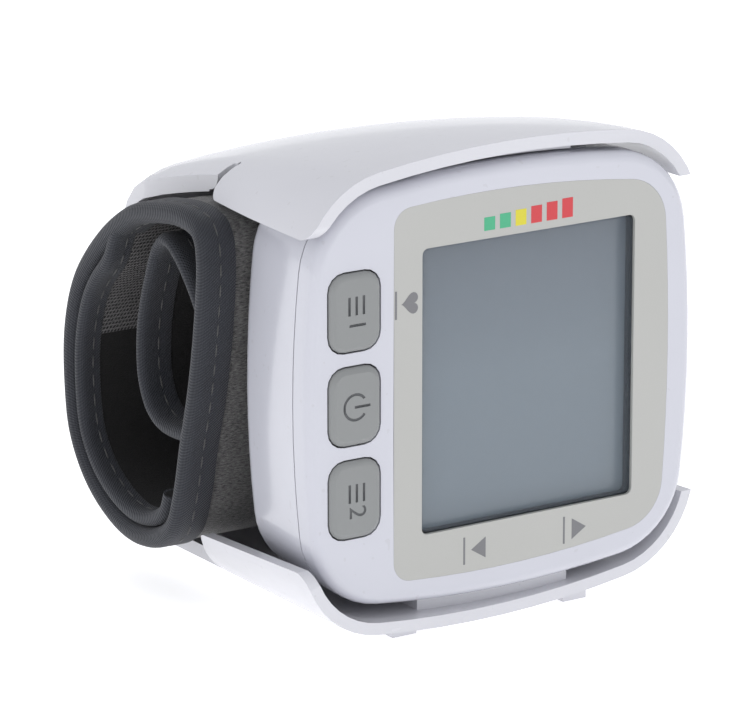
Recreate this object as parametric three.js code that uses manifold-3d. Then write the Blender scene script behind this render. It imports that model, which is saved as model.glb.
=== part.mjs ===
// A wrist blood pressure monitor in its open-fronted storage shell.
// Millimetres. X runs across the display, Y from the display to the back, Z is up.
// The pieces are laid out round the middle of the display face, and the group then
// stands on its feet with the origin in the middle of its underside.

import * as THREE from "three";
import { mergeVertices } from "three/addons/utils/BufferGeometryUtils.js";
import Module from "manifold-3d";

const wasm = await Module();
wasm.setup();

// Fits
const seat = 0.2;
const coverFit = 0.25;
const ledgeFit = 0.3;
const overrun = 3;

// Batteries, their bay and its cover
const cellRadius = 5.25;
const cellLength = 44.5;
const cellCap = 0.9;
const cellCapRadius = 2.6;
const cellGap = 0.3;
const cellBackGap = 0.15;
const contactThickness = 0.4;
const contactSpring = 0.5;
const bayWall = 1;
const coverWall = 1.1;
const coverGrip = 0.35;
const coverRibs = 4;
const coverRibPitch = 1.6;
const coverRibMargin = 6.1;

// Display glass and, behind it, the circuit board
const recessDepth = 2.4;
const glassThickness = 1.8;
const connectorDepth = 1;
const boardFront = recessDepth + glassThickness + connectorDepth;
const boardThickness = 1.2;
const boardMargin = 0.5;
const boardCellGap = 1.75;
const boardBack = boardFront + boardThickness;

// Casing: as deep as the board and a cell, and as tall as a cell, the room at its two ends and
// what its crowned ends fall by at the screws
const bodyHalfWidth = 35.65;
const bodyEndRoom = 10.2;
const bodyCrown = 188;
const screwSideMargin = 11.15;
const screwAcross = bodyHalfWidth - screwSideMargin;
const screwCrownFall = screwAcross ** 2 / (2 * bodyCrown);
const bodyHalfHeight = cellLength / 2 + bodyEndRoom + screwCrownFall;
const bodyCorner = 13.5;
const seamDepth = 4.2;
const bodyWall = 1.9;
const backWall = 1.6;
const bodyDepth = boardBack + boardCellGap + 2 * cellRadius + cellBackGap + backWall;
const frontFillet = 1.8;
const backFillet = 2;
const backTaper = 1;

// Panel: its margins to the casing's edges, and where the middle of its crowned ends lies
const panelButtonMargin = 15.5;
const panelSideMargin = 5;
const panelEndMargin = 4.2;
const panelThickness = 0.6;
const panelLeft = panelButtonMargin - bodyHalfWidth;
const panelRight = bodyHalfWidth - panelSideMargin;
const panelHalfHeight = bodyHalfHeight - panelEndMargin;
const panelCrownAcross = 17.85;
const panelSideCrown = 310;
const panelCrown = 187;
const straightCrown = 4000;
const panelLeftCorner = 3.2;
const panelRightCorner = 7.5;

// Display window in the panel
const windowButtonMargin = 5.1;
const windowSideMargin = 6.5;
const windowEndMargin = 7.35;
const windowLeft = panelLeft + windowButtonMargin;
const windowRight = panelRight - windowSideMargin;
const windowHalfHeight = panelHalfHeight - windowEndMargin;
const windowCorner = 1;
const glassMargin = 0.5;
const frameWall = 1.5;
const lensThickness = 0.8;

// The strip that joins the display to the board
const connectorMargin = 2.6;
const connectorHeight = 1.2;

// Buttons and what they press
const buttonSideMargin = 8.25;
const buttonMiddle = buttonSideMargin - bodyHalfWidth;
const buttonWidth = 9.1;
const buttonPitchShare = 0.4306;
const buttonGap = 2.46;
const buttonPitch = bodyHalfHeight * buttonPitchShare;
const buttonHeight = buttonPitch - buttonGap;
const buttonCorner = 2.7;
const buttonProud = 0.7;
const buttonBevel = 0.9;
const bevelDepthShare = 0.55;
const bevelInsetShare = 0.35;
const buttonLip = 0.7;
const buttonLipDepth = 0.8;
const buttonTravel = 0.6;
const buttonPost = 1.6;
const switchSide = 5.2;
const switchDepth = 0.9;
const plungerRadius = 1.4;
const plungerDepth = 0.25;
const plungerGap = 0.25;
const plungerFront = boardFront - seat / 2 - switchDepth - plungerDepth;
const postEnd = plungerFront - plungerGap - buttonTravel;

// Screws and their bosses
const screwEndMargin = 5.25;
const screwUp = bodyHalfHeight - screwCrownFall - screwEndMargin;
const screwRadius = 1;
const screwHead = 1.7;
const screwHeadDepth = 1.4;
const screwSink = 2;
const screwTop = bodyDepth - screwSink;
const screwSeamGap = 0.8;
const screwTip = seamDepth + screwSeamGap;
const bossRadius = 2.4;
const bossBoardReach = 1.3;
const frontBossDepth = boardBack + bossBoardReach;

// Air pump, valve and pipes
const pumpSideMargin = 13.65;
const pumpEndMargin = 12.25;
const pumpBackGap = 0.6;
const pumpBoardGap = 1.4;
const motorRadius = (bodyDepth - backWall - pumpBackGap - boardBack - pumpBoardGap) / 2;
const motorLength = 15.6;
const motorStub = 0.6;
const pumpAcross = pumpSideMargin - bodyHalfWidth;
const pumpDepth = bodyDepth - backWall - pumpBackGap - motorRadius;
const motorStart = pumpEndMargin - bodyHalfHeight;
const headLength = 12.6;
const nozzleRadius = 1.3;
const nozzleLength = 2.4;
const cradleWidth = 1.2;
const cradleShares = [0.2, 0.8];
const valveWidth = 8;
const valveHeight = 11;
const valveRoom = 9.8;
const sensorSide = 7;
const sensorDepth = 3;
const sensorPortGap = 5;
const sensorEndMargin = 10.05;
const sensorUp = bodyHalfHeight - sensorEndMargin;
const pipeRadius = 1.5;
const pipeTurnShare = 0.72;
const portBayGap = 9.33;
const portEndMargin = 17.05;
const portRoom = 6.6;
const portBlock = 5;
const portBody = 3.3;
const portUp = bodyHalfHeight - portEndMargin;
const portRadius = 1.6;
const portBore = 0.8;

// Storage shell
const shellWall = 1.9;
const sideGap = 1.7;
const bottomGap = 2.15;
const shellCrown = 190;
const shellCorner = 16;
const shellDepth = 67.3;
const rimSlope = 0.06;
const wingDrop = 0.056;
const wingSag = 9.98;
const topClearance = 0.39;
const topGap = wingFall(bodyDepth) - backTaper + topClearance;
const topBackRadius = 16.5;
const bottomBackRadius = 17;
const backSideMargin = 1.65;
const sideBendReach = 14.5;
const stationShares = [0.1, 0.22, 0.34, 0.46];
const bendShare = 0.56;
const cornerLimitShare = 0.945;
const tabTopMargin = 7.2;
const tabBottomMargin = 9.45;
const tabBottomFall = 1.9;
const tabBackShare = 0.06;
const tabRoundShare = 0.188;
const tabCorner = 2.2;
const wingMargin = 5.15;
const wallMargin = 7.15;
const openingReach = 4.4;
const wingBackMargin = 11.5;
const slotWidth = 1.8;
const slotDepth = 3;
const ledgeHalfWidth = 14;
const ledgeFront = 3;
const ledgeBackMargin = 1.4;
const footAcross = 16;
const footWidth = 4.4;
const footLength = 3.4;
const footTaper = 2;
const footDrop = 1.5;
const footRoot = 2.1;
const frontFootDepth = 3.5;
const backFootMargin = 22.5;

// Cuff: a band that leaves the casing, rolls round the wrist space and ends in a loop
const cuffNearReach = 5.55;
const cuffFarMargin = 5.65;
const cuffFrontGap = 0.8;
const cuffBackGap = 0.6;
const cuffBottomMargin = 3.15;
const cuffTopMargin = 8.25;
const cuffNear = -bodyHalfWidth - cuffNearReach;
const cuffFar = bodyHalfWidth - cuffFarMargin;
const cuffFront = bodyDepth + cuffFrontGap;
const cuffDepth = shellDepth - shellWall - cuffBackGap - cuffFront;
const cuffBottom = cuffBottomMargin - bodyHalfHeight;
const cuffHeight = bodyHalfHeight - cuffTopMargin - cuffBottom;
const clothThickness = 0.7;
const clothGap = 0.15;
const tapeWidth = 6.3;
const tapeThickness = 0.4;
const tapeGap = 0.1;
const wrapThickness = 2.2;
const tailThickness = 1.9;
const tailMargin = 2.1;
const bladderMargin = 8;
const retainerHalfWidth = 13;
const pegAcross = 10;
const pegUp = 6;
const pegRadius = 1.2;

// Places along the band's route, as shares of the roll's depth and height, and places along
// the tail's, as shares of the hollow inside the roll
const rollShares = [
  [0, 0.9], [0.032, 0.972], [0.133, 1], [0.34, 0.99], [0.545, 0.945], [0.74, 0.843],
  [0.907, 0.704], [0.985, 0.546], [0.997, 0.372], [0.962, 0.226], [0.868, 0.118],
  [0.71, 0.036], [0.523, 0], [0.353, 0.022], [0.238, 0.08], [0.177, 0.183],
  [0.133, 0.323], [0.071, 0.492], [0.023, 0.686],
];
const tailShares = [
  [0.018, 0.749], [0.105, 0.836], [0.221, 0.919], [0.318, 0.949], [0.385, 0.911],
  [0.451, 0.807], [0.506, 0.685], [0.53, 0.558], [0.518, 0.454], [0.457, 0.375],
  [0.36, 0.336], [0.257, 0.329], [0.153, 0.333],
];
const wrapStartShare = 0.245;
const wrapEndShare = 0.735;
const bladderStartShare = -0.046;
const bladderEndShare = 0.3;
const retainerStartShare = -0.116;
const retainerEndShare = -0.072;

// Facets
const sideSteps = 8;
const cornerSteps = 9;
const filletSteps = 4;
const bendSteps = 9;
const roundSteps = 24;
const smallSteps = 16;
const rollSteps = 64;
const tailSteps = 30;
const retainerSteps = 8;
const routeSamples = 256;
const pipeSides = 10;
const pipeSteps = 30;

// How far the shell's top wing has fallen at a depth
function wingFall(depth) {
  return wingDrop * depth + wingSag * (depth / shellDepth) ** 2;
}

const finishes = {
  shellWhite: { color: 0xf1f0f6, roughness: 0.32, metalness: 0 },
  casingWhite: { color: 0xf3f2f8, roughness: 0.22, metalness: 0 },
  panelGrey: { color: 0xc9cac6, roughness: 0.45, metalness: 0 },
  buttonGrey: { color: 0x989a98, roughness: 0.5, metalness: 0 },
  displayGlass: { color: 0x8b98a3, roughness: 0.2, metalness: 0 },
  clearLens: { color: 0xdfe6ea, roughness: 0.05, metalness: 0, transparent: true, opacity: 0.25 },
  darkFrame: { color: 0x3c4148, roughness: 0.6, metalness: 0 },
  board: { color: 0x2f6b45, roughness: 0.6, metalness: 0 },
  blackPlastic: { color: 0x25262a, roughness: 0.5, metalness: 0 },
  steel: { color: 0xb9bcc0, roughness: 0.35, metalness: 1 },
  brass: { color: 0xc9a45c, roughness: 0.35, metalness: 1 },
  clearRubber: { color: 0xcfd2cc, roughness: 0.6, metalness: 0 },
  cell: { color: 0x3f5f8c, roughness: 0.4, metalness: 0.2 },
  cloth: { color: 0x4a4c53, roughness: 0.95, metalness: 0 },
  pile: { color: 0x26272b, roughness: 1, metalness: 0 },
  tape: { color: 0x43454d, roughness: 0.9, metalness: 0 },
};

// Solids and booleans

function solid(geometry) {
  const bare = geometry.clone();
  bare.deleteAttribute("normal");
  bare.deleteAttribute("uv");
  const merged = mergeVertices(bare);
  const vertProperties = new Float32Array(merged.attributes.position.array);
  const triVerts = new Uint32Array(merged.index.array);
  return new wasm.Manifold(new wasm.Mesh({ numProp: 3, vertProperties, triVerts }));
}

function geometryOf(manifold) {
  const { vertProperties, triVerts } = manifold.getMesh();
  const geometry = new THREE.BufferGeometry();
  geometry.setAttribute("position", new THREE.BufferAttribute(vertProperties, 3));
  geometry.setIndex(new THREE.BufferAttribute(triVerts, 1));
  geometry.computeVertexNormals();
  return geometry;
}

function piece(name, manifold, finish) {
  const material = new THREE.MeshStandardMaterial(finishes[finish]);
  const mesh = new THREE.Mesh(geometryOf(manifold), material);
  mesh.name = name;
  return mesh;
}

function joined(parts) {
  return parts.reduce((whole, part) => whole.add(part));
}

// An outline pushed square to its plane: front views run along Y, side views along X, plans along Z
function prism(view, points, from, to, hole = null) {
  const shape = new THREE.Shape(points);
  if (hole) {
    shape.holes.push(new THREE.Path(hole));
  }
  const geometry = new THREE.ExtrudeGeometry(shape, { depth: to - from, bevelEnabled: false });
  const right = new THREE.Vector3(1, 0, 0);
  const back = new THREE.Vector3(0, 1, 0);
  const up = new THREE.Vector3(0, 0, 1);
  const turn = new THREE.Matrix4();
  if (view === "front") {
    geometry.translate(0, 0, -to);
    turn.makeBasis(right, up, back.negate());
  } else if (view === "side") {
    geometry.translate(0, 0, from);
    turn.makeBasis(back, up, right);
  } else {
    geometry.translate(0, 0, from);
    turn.makeBasis(right, back, up);
  }
  geometry.applyMatrix4(turn);
  return solid(geometry);
}

function arc(centre, radius, from, to, steps) {
  const points = [];
  for (let step = 0; step < steps; step += 1) {
    const angle = from + ((to - from) * step) / steps;
    const reach = new THREE.Vector2(Math.cos(angle), Math.sin(angle));
    points.push(reach.multiplyScalar(radius).add(centre));
  }
  return points;
}

function circle(across, up, radius, steps = smallSteps) {
  return arc(new THREE.Vector2(across, up), radius, 0, 2 * Math.PI, steps);
}

function rectangle(left, right, bottom, top) {
  return [
    new THREE.Vector2(left, bottom),
    new THREE.Vector2(right, bottom),
    new THREE.Vector2(right, top),
    new THREE.Vector2(left, top),
  ];
}

function block(left, right, front, back, bottom, top) {
  return prism("front", rectangle(left, right, bottom, top), front, back);
}

// Crowned outlines: four sides that are wide arcs, and four corner arcs that run into them

function crownedForm({ left, right, bottom, top, crowns, corners, middle = (left + right) / 2 }) {
  const level = (bottom + top) / 2;
  const [rightCrown, topCrown, leftCrown, bottomCrown] = crowns;
  return {
    corners,
    sides: [
      { centre: new THREE.Vector2(right - rightCrown, level), radius: rightCrown },
      { centre: new THREE.Vector2(middle, top - topCrown), radius: topCrown },
      { centre: new THREE.Vector2(left + leftCrown, level), radius: leftCrown },
      { centre: new THREE.Vector2(middle, bottom + bottomCrown), radius: bottomCrown },
    ],
  };
}

function evenForm(halfWidth, bottom, top, crown, corner) {
  return crownedForm({
    left: -halfWidth,
    right: halfWidth,
    bottom,
    top,
    crowns: Array(4).fill(crown),
    corners: Array(4).fill(corner),
  });
}

function roundedForm(left, right, bottom, top, corner) {
  const crowns = Array(4).fill(straightCrown);
  const form = crownedForm({ left, right, bottom, top, crowns, corners: Array(4).fill(corner) });
  return { ...form, straight: true };
}

// Where two crowned sides, counted anticlockwise, meet their corner arc
function cornerCentre(side, next, corner) {
  const reach = side.radius - corner;
  const nextReach = next.radius - corner;
  const between = next.centre.clone().sub(side.centre);
  const span = between.length();
  const along = (reach ** 2 - nextReach ** 2 + span ** 2) / (2 * span);
  const aside = Math.sqrt(reach ** 2 - along ** 2);
  const direction = between.divideScalar(span);
  const outwards = new THREE.Vector2(-direction.y, direction.x);
  return side.centre.clone().addScaledVector(direction, along).addScaledVector(outwards, aside);
}

function outline(form, inset = 0) {
  const { sides, corners, straight } = form;
  const along = straight ? 1 : sideSteps;
  const round = straight ? filletSteps : cornerSteps;
  const centres = corners.map((corner, index) => {
    return cornerCentre(sides[index], sides[(index + 1) % 4], corner);
  });
  const points = [];
  for (let index = 0; index < 4; index += 1) {
    const side = sides[index];
    const next = sides[(index + 1) % 4];
    const last = centres[(index + 3) % 4];
    const here = centres[index];
    const start = last.clone().sub(side.centre).angle();
    const turned = here.clone().sub(side.centre).angle();
    const swing = THREE.MathUtils.euclideanModulo(turned - start, 2 * Math.PI);
    const end = here.clone().sub(next.centre).angle();
    const bend = THREE.MathUtils.euclideanModulo(end - turned, 2 * Math.PI);
    points.push(...arc(side.centre, side.radius - inset, start, start + swing, along));
    points.push(...arc(here, corners[index] - inset, turned, turned + bend, round));
  }
  return points;
}

// A closed skin through outlines at rising depths
function loft(sections) {
  const count = sections[0].points.length;
  const positions = [];
  const faces = [];
  for (const { depth, points } of sections) {
    for (const point of points) {
      positions.push(point.x, depth, point.y);
    }
  }
  for (let ring = 0; ring + 1 < sections.length; ring += 1) {
    for (let step = 0; step < count; step += 1) {
      const here = ring * count + step;
      const beside = ring * count + ((step + 1) % count);
      faces.push(here, here + count, beside, beside, here + count, beside + count);
    }
  }
  const last = (sections.length - 1) * count;
  for (const [a, b, c] of THREE.ShapeUtils.triangulateShape(sections[0].points, [])) {
    faces.push(a, b, c);
  }
  for (const [a, b, c] of THREE.ShapeUtils.triangulateShape(sections.at(-1).points, [])) {
    faces.push(last + c, last + b, last + a);
  }
  const geometry = new THREE.BufferGeometry();
  geometry.setAttribute("position", new THREE.Float32BufferAttribute(positions, 3));
  geometry.setIndex(faces);
  return solid(geometry);
}

// How far an outline draws in, and how deep it lies, along a rounded edge
function filletStations(radius) {
  const stations = [];
  for (let step = 0; step <= filletSteps; step += 1) {
    const angle = (Math.PI / 2) * (step / filletSteps);
    stations.push({ inset: radius * (1 - Math.sin(angle)), depth: radius * (1 - Math.cos(angle)) });
  }
  return stations;
}

// Casing

const bodyForm = evenForm(bodyHalfWidth, -bodyHalfHeight, bodyHalfHeight, bodyCrown, bodyCorner);
const rearFront = seamDepth + seat;
const innerBack = bodyDepth - backWall;
const screwPlaces = [
  [-screwAcross, -screwUp], [screwAcross, -screwUp], [screwAcross, screwUp], [-screwAcross, screwUp],
];
const buttonPlaces = [-1, 0, 1].map((row) => row * buttonPitch);

// Bay for two cells side by side, open towards the right-hand side of the casing
const cellHalf = cellLength / 2;
const crownFall = cellHalf ** 2 / (2 * bodyCrown);
const cellRight = bodyHalfWidth - crownFall - backTaper - coverWall - 2 * seat - cellRadius;
const cellPlaces = [cellRight - 2 * cellRadius - cellGap, cellRight];
const cellDepth = innerBack - cellBackGap - cellRadius;
const contactFace = cellHalf + contactSpring;
const bayHalf = contactFace + contactThickness + seat;
const bayLeft = cellPlaces[0] - cellRadius - seat;
const bayFront = cellDepth - cellRadius - seat;
const coverFront = bayFront - seat;
const coverBack = innerBack - coverFit;
const coverHalf = bayHalf - seat;

// The air port lies beside the bay
const portAcross = bayLeft - bayWall - portBayGap;
const portDepth = innerBack - portRoom;
const valveFront = innerBack - valveRoom;
const sensorAcross = portAcross - sensorPortGap;

function rearStations() {
  const edge = filletStations(backFillet).reverse();
  const start = { inset: 0, depth: rearFront };
  const curved = edge.map(({ inset, depth }) => ({ inset: inset + backTaper, depth: bodyDepth - depth }));
  return [start, ...curved];
}

function rearSkin() {
  return loft(rearStations().map(({ inset, depth }) => ({ depth, points: outline(bodyForm, inset) })));
}

function rearHollow(thickness) {
  const front = { depth: rearFront - overrun, points: outline(bodyForm, thickness) };
  const mouth = { depth: rearFront, points: outline(bodyForm, thickness) };
  const back = { depth: innerBack, points: outline(bodyForm, thickness + backTaper) };
  return loft([front, mouth, back]);
}

function buttonOpening(margin) {
  const halfWidth = buttonWidth / 2 + margin;
  const halfHeight = buttonHeight / 2 + margin;
  return roundedForm(-halfWidth, halfWidth, -halfHeight, halfHeight, buttonCorner + margin);
}

function moved(points, across, up) {
  return points.map((point) => new THREE.Vector2(point.x + across, point.y + up));
}

function windowForm(margin) {
  const half = windowHalfHeight + margin;
  return roundedForm(windowLeft - margin, windowRight + margin, -half, half, windowCorner + margin);
}

function panelForm(margin) {
  return crownedForm({
    left: panelLeft - margin,
    right: panelRight + margin,
    bottom: -panelHalfHeight - margin,
    top: panelHalfHeight + margin,
    middle: panelLeft + panelCrownAcross,
    crowns: [panelSideCrown, panelCrown, straightCrown, panelCrown],
    corners: [panelRightCorner, panelLeftCorner, panelLeftCorner, panelRightCorner],
  });
}

function frontHousing() {
  const edge = filletStations(frontFillet);
  const sections = edge.map(({ inset, depth }) => ({ depth, points: outline(bodyForm, inset) }));
  sections.push({ depth: seamDepth, points: outline(bodyForm) });
  let shell = loft(sections);
  shell = shell.subtract(prism("front", outline(bodyForm, bodyWall), bodyWall, seamDepth + overrun));
  const bosses = screwPlaces.map(([across, up]) => {
    return prism("front", circle(across, up, bossRadius), bodyWall - seat, frontBossDepth);
  });
  shell = joined([shell, ...bosses]);
  for (const [across, up] of screwPlaces) {
    const hole = circle(across, up, screwRadius + seat);
    shell = shell.subtract(prism("front", hole, screwTip - seat, bodyDepth));
  }
  const pocket = prism("front", outline(panelForm(seat)), -overrun, panelThickness + seat);
  const window = prism("front", outline(windowForm(frameWall + seat)), -overrun, bodyWall + overrun);
  shell = shell.subtract(pocket).subtract(window);
  for (const up of buttonPlaces) {
    const opening = moved(outline(buttonOpening(coverFit)), buttonMiddle, up);
    shell = shell.subtract(prism("front", opening, -overrun, bodyWall + seat / 2));
  }
  return piece("front_housing", shell, "casingWhite");
}

function coverRegion(fit) {
  return block(
    cellRight + cellRadius - backTaper,
    bodyHalfWidth + overrun,
    coverFront - fit,
    coverBack + fit,
    -coverHalf - fit,
    coverHalf + fit,
  );
}

function rearHousing() {
  const skin = rearSkin();
  const bosses = screwPlaces.map(([across, up]) => {
    return prism("front", circle(across, up, bossRadius), frontBossDepth + seat, bodyDepth - seat);
  });
  const bayRight = bodyHalfWidth - bodyWall / 4;
  const bayBack = innerBack + seat;
  const floor = block(bayLeft - bayWall, bayRight, bayFront - bayWall, bayFront, -bayHalf, bayHalf);
  const inner = block(bayLeft - bayWall, bayLeft, bayFront - bayWall, bayBack, -bayHalf, bayHalf);
  const ends = [-1, 1].map((side) => {
    const low = side > 0 ? bayHalf : -bayHalf - bayWall;
    return block(bayLeft - bayWall, bayRight, bayFront - bayWall, bayBack, low, low + bayWall);
  });
  const cradles = cradleShares.map((share) => {
    const low = motorStart + motorLength * share - cradleWidth / 2;
    const left = pumpAcross - motorRadius;
    const right = pumpAcross + motorRadius;
    return block(left, right, pumpDepth + seat, bayBack, low, low + cradleWidth);
  });
  const fittings = joined([...bosses, floor, inner, ...ends, ...cradles]).intersect(skin);
  let shell = skin.subtract(rearHollow(bodyWall)).add(fittings);
  shell = shell.subtract(prism("plan", circle(pumpAcross, pumpDepth, motorRadius + seat), -bayHalf, bayHalf));
  shell = shell.subtract(coverRegion(coverFit));
  for (const [across, up] of screwPlaces) {
    shell = shell.subtract(prism("front", circle(across, up, screwRadius + seat), 0, bodyDepth + overrun));
    const sink = circle(across, up, screwHead + seat);
    shell = shell.subtract(prism("front", sink, screwTop - screwHeadDepth - seat, bodyDepth + overrun));
  }
  const port = circle(portAcross, portUp, portRadius + seat);
  shell = shell.subtract(prism("front", port, innerBack - seat, bodyDepth + overrun));
  for (const side of [-1, 1]) {
    const peg = circle(side * pegAcross, pegUp, pegRadius + seat);
    shell = shell.subtract(prism("front", peg, bodyDepth - backWall / 2, bodyDepth + overrun));
  }
  return piece("rear_housing", shell, "casingWhite");
}

function batteryCover() {
  let cover = rearSkin().subtract(rearHollow(coverWall)).intersect(coverRegion(0));
  const ribs = [];
  for (let rib = 0; rib < coverRibs; rib += 1) {
    const up = coverHalf - coverRibMargin - rib * coverRibPitch;
    const middle = (coverFront + coverBack) / 2;
    const reach = (coverBack - coverFront) / 4;
    ribs.push(block(
      bodyHalfWidth - 2 * backTaper,
      bodyHalfWidth - backTaper,
      middle - reach,
      middle + reach,
      up - coverGrip,
      up + coverGrip,
    ));
  }
  cover = joined([cover, ...ribs]);
  return piece("battery_cover", cover, "casingWhite");
}

// Display

function facePanel() {
  const sheet = prism("front", outline(panelForm(0)), 0, panelThickness, outline(windowForm(0)));
  return piece("face_panel", sheet, "panelGrey");
}

function displayLens() {
  const sheet = prism("front", outline(windowForm(-seat)), seat / 2, seat / 2 + lensThickness);
  return piece("display_lens", sheet, "clearLens");
}

function lcdFrame() {
  const front = lensThickness + 2 * seat;
  const back = boardFront - seat;
  const rim = prism("front", outline(windowForm(frameWall)), front, back, outline(windowForm(0)));
  const pocket = prism("front", outline(windowForm(glassMargin + seat)), recessDepth - seat, back + overrun);
  return piece("lcd_frame", rim.subtract(pocket), "darkFrame");
}

function lcdGlass() {
  const sheet = prism("front", outline(windowForm(glassMargin)), recessDepth, recessDepth + glassThickness);
  return piece("lcd_glass", sheet, "displayGlass");
}

function lcdConnector() {
  const top = windowHalfHeight - glassMargin;
  const left = windowLeft + connectorMargin;
  const right = windowRight - connectorMargin;
  const front = recessDepth + glassThickness + seat;
  const strip = block(left, right, front, boardFront - seat, top - connectorHeight, top);
  return piece("lcd_connector", strip, "clearRubber");
}

function mainBoard() {
  let board = prism("front", outline(bodyForm, bodyWall + boardMargin), boardFront, boardBack);
  for (const [across, up] of screwPlaces) {
    const notch = circle(across, up, bossRadius + boardMargin);
    board = board.subtract(prism("front", notch, boardFront - overrun, boardFront + overrun));
  }
  for (const side of [-1, 1]) {
    const edge = side * bodyHalfHeight;
    const [low, high] = [side * screwUp, edge].sort((a, b) => a - b);
    for (const hand of [-1, 1]) {
      const [left, right] = [hand * screwAcross, hand * bodyHalfWidth].sort((a, b) => a - b);
      board = board.subtract(block(left, right, boardFront - overrun, boardFront + overrun, low, high));
    }
  }
  return piece("main_board", board, "board");
}

// Buttons and switches

function button(name, up) {
  const face = [
    { depth: -buttonProud, points: outline(buttonOpening(-buttonBevel)) },
    { depth: -buttonProud * bevelDepthShare, points: outline(buttonOpening(-buttonBevel * bevelInsetShare)) },
    { depth: 0, points: outline(buttonOpening(0)) },
    { depth: bodyWall + seat, points: outline(buttonOpening(0)) },
  ];
  const lipFront = bodyWall + seat;
  const lip = prism("front", outline(buttonOpening(buttonLip)), lipFront, lipFront + buttonLipDepth);
  const post = prism("front", circle(0, 0, buttonPost), lipFront, postEnd);
  const mesh = piece(name, joined([loft(face), lip, post]), "buttonGrey");
  mesh.position.set(buttonMiddle, 0, up);
  return mesh;
}

function tactSwitch(name, up) {
  const half = switchSide / 2;
  const back = boardFront - seat / 2;
  const base = block(-half, half, back - switchDepth, back, -half, half);
  const plunger = prism("front", circle(0, 0, plungerRadius), plungerFront, back);
  const mesh = piece(name, joined([base, plunger]), "blackPlastic");
  mesh.position.set(buttonMiddle, 0, up);
  return mesh;
}

// Fasteners, cells and contacts

function caseScrew(name, across, up) {
  const shank = prism("front", circle(0, 0, screwRadius), screwTip, screwTop);
  const head = prism("front", circle(0, 0, screwHead), screwTop - screwHeadDepth, screwTop);
  const mesh = piece(name, joined([shank, head]), "steel");
  mesh.position.set(across, 0, up);
  return mesh;
}

function battery(name, across, pointing) {
  const can = prism("plan", circle(0, 0, cellRadius, roundSteps), -cellHalf, cellHalf - cellCap);
  const cap = prism("plan", circle(0, 0, cellCapRadius), 0, cellHalf);
  const mesh = piece(name, joined([can, cap]), "cell");
  mesh.position.set(across, cellDepth, 0);
  mesh.rotation.x = pointing > 0 ? 0 : Math.PI;
  return mesh;
}

function batteryContact(name, side) {
  const left = cellPlaces[0] - cellRadius;
  const right = cellPlaces[1] + cellRadius / 2;
  const front = cellDepth - cellRadius;
  const back = cellDepth + cellRadius;
  const plate = block(left, right, front, back, contactFace, contactFace + contactThickness);
  const springs = cellPlaces.map((across) => {
    const spring = circle(across, cellDepth, cellCapRadius);
    return prism("plan", spring, cellHalf + seat / 2, contactFace + seat / 2);
  });
  const mesh = piece(name, joined([plate, ...springs]), "brass");
  mesh.position.set(0, side > 0 ? 0 : 2 * cellDepth, 0);
  mesh.rotation.x = side > 0 ? 0 : Math.PI;
  return mesh;
}

// Air system

function pumpMotor() {
  const can = prism("plan", circle(0, 0, motorRadius, roundSteps), 0, motorLength);
  const boss = prism("plan", circle(0, 0, nozzleRadius), -motorStub, motorLength);
  const mesh = piece("pump_motor", joined([can, boss]), "steel");
  mesh.position.set(pumpAcross, pumpDepth, motorStart);
  return mesh;
}

function pumpHead() {
  const form = roundedForm(-motorRadius, motorRadius, -motorRadius, motorRadius, motorRadius / 2);
  const body = prism("plan", outline(form), 0, headLength);
  const nozzle = prism("plan", circle(0, 0, nozzleRadius), 0, headLength + nozzleLength);
  const mesh = piece("pump_head", joined([body, nozzle]), "blackPlastic");
  mesh.position.set(pumpAcross, pumpDepth, motorStart + motorLength + seat);
  return mesh;
}

function deflationValve() {
  const top = portUp - portBlock / 2 - nozzleLength / 2;
  const half = valveWidth / 2;
  const coil = block(
    portAcross - half,
    portAcross + half,
    valveFront,
    innerBack - seat,
    top - valveHeight,
    top,
  );
  const nozzleForm = circle(portAcross, portDepth + portBody / 2, nozzleRadius);
  const nozzle = prism("plan", nozzleForm, top - seat, portUp - portBlock / 2 - seat);
  return piece("deflation_valve", joined([coil, nozzle]), "blackPlastic");
}

function pressureSensor() {
  const half = sensorSide / 2;
  const front = boardBack + seat / 2;
  const body = block(
    sensorAcross - half,
    sensorAcross + half,
    front,
    front + sensorDepth,
    sensorUp - half,
    sensorUp + half,
  );
  const nozzleEnd = pumpDepth - pipeRadius - seat;
  const nozzle = prism("front", circle(sensorAcross, sensorUp, nozzleRadius), front, nozzleEnd);
  return piece("pressure_sensor", joined([body, nozzle]), "blackPlastic");
}

// The air port: a block with a spigot that passes through the back of the casing into the bladder
function cuffNipple(spigotEnd) {
  const half = portBlock / 2;
  const body = block(
    portAcross - half,
    portAcross + half,
    portDepth,
    portDepth + portBody,
    portUp - half,
    portUp + half,
  );
  const spigot = prism("front", circle(portAcross, portUp, portRadius), portDepth, spigotEnd);
  const boreForm = circle(portAcross, portUp, portBore);
  const bore = prism("front", boreForm, portDepth + portBody / 2, spigotEnd + overrun);
  return piece("cuff_nipple", joined([body, spigot]).subtract(bore), "blackPlastic");
}

function airPipe() {
  const start = motorStart + motorLength + headLength + nozzleLength + 2 * seat;
  const end = portUp + portBlock / 2 + seat;
  const lift = sensorUp - start;
  const route = new THREE.CatmullRomCurve3([
    new THREE.Vector3(pumpAcross, pumpDepth, start),
    new THREE.Vector3(pumpAcross, pumpDepth, start + lift / 2),
    new THREE.Vector3(portAcross + (pumpAcross - portAcross) * pipeTurnShare, pumpDepth, sensorUp),
    new THREE.Vector3(sensorAcross, pumpDepth, sensorUp),
    new THREE.Vector3(portAcross, pumpDepth, (sensorUp + end) / 2 + pipeRadius),
    new THREE.Vector3(portAcross, pumpDepth, end),
  ]);
  const section = new THREE.Shape(circle(0, 0, pipeRadius, pipeSides));
  const geometry = new THREE.ExtrudeGeometry(section, {
    steps: pipeSteps,
    extrudePath: route,
    bevelEnabled: false,
  });
  return piece("air_pipe", solid(geometry), "clearRubber");
}

// Cuff

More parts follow.
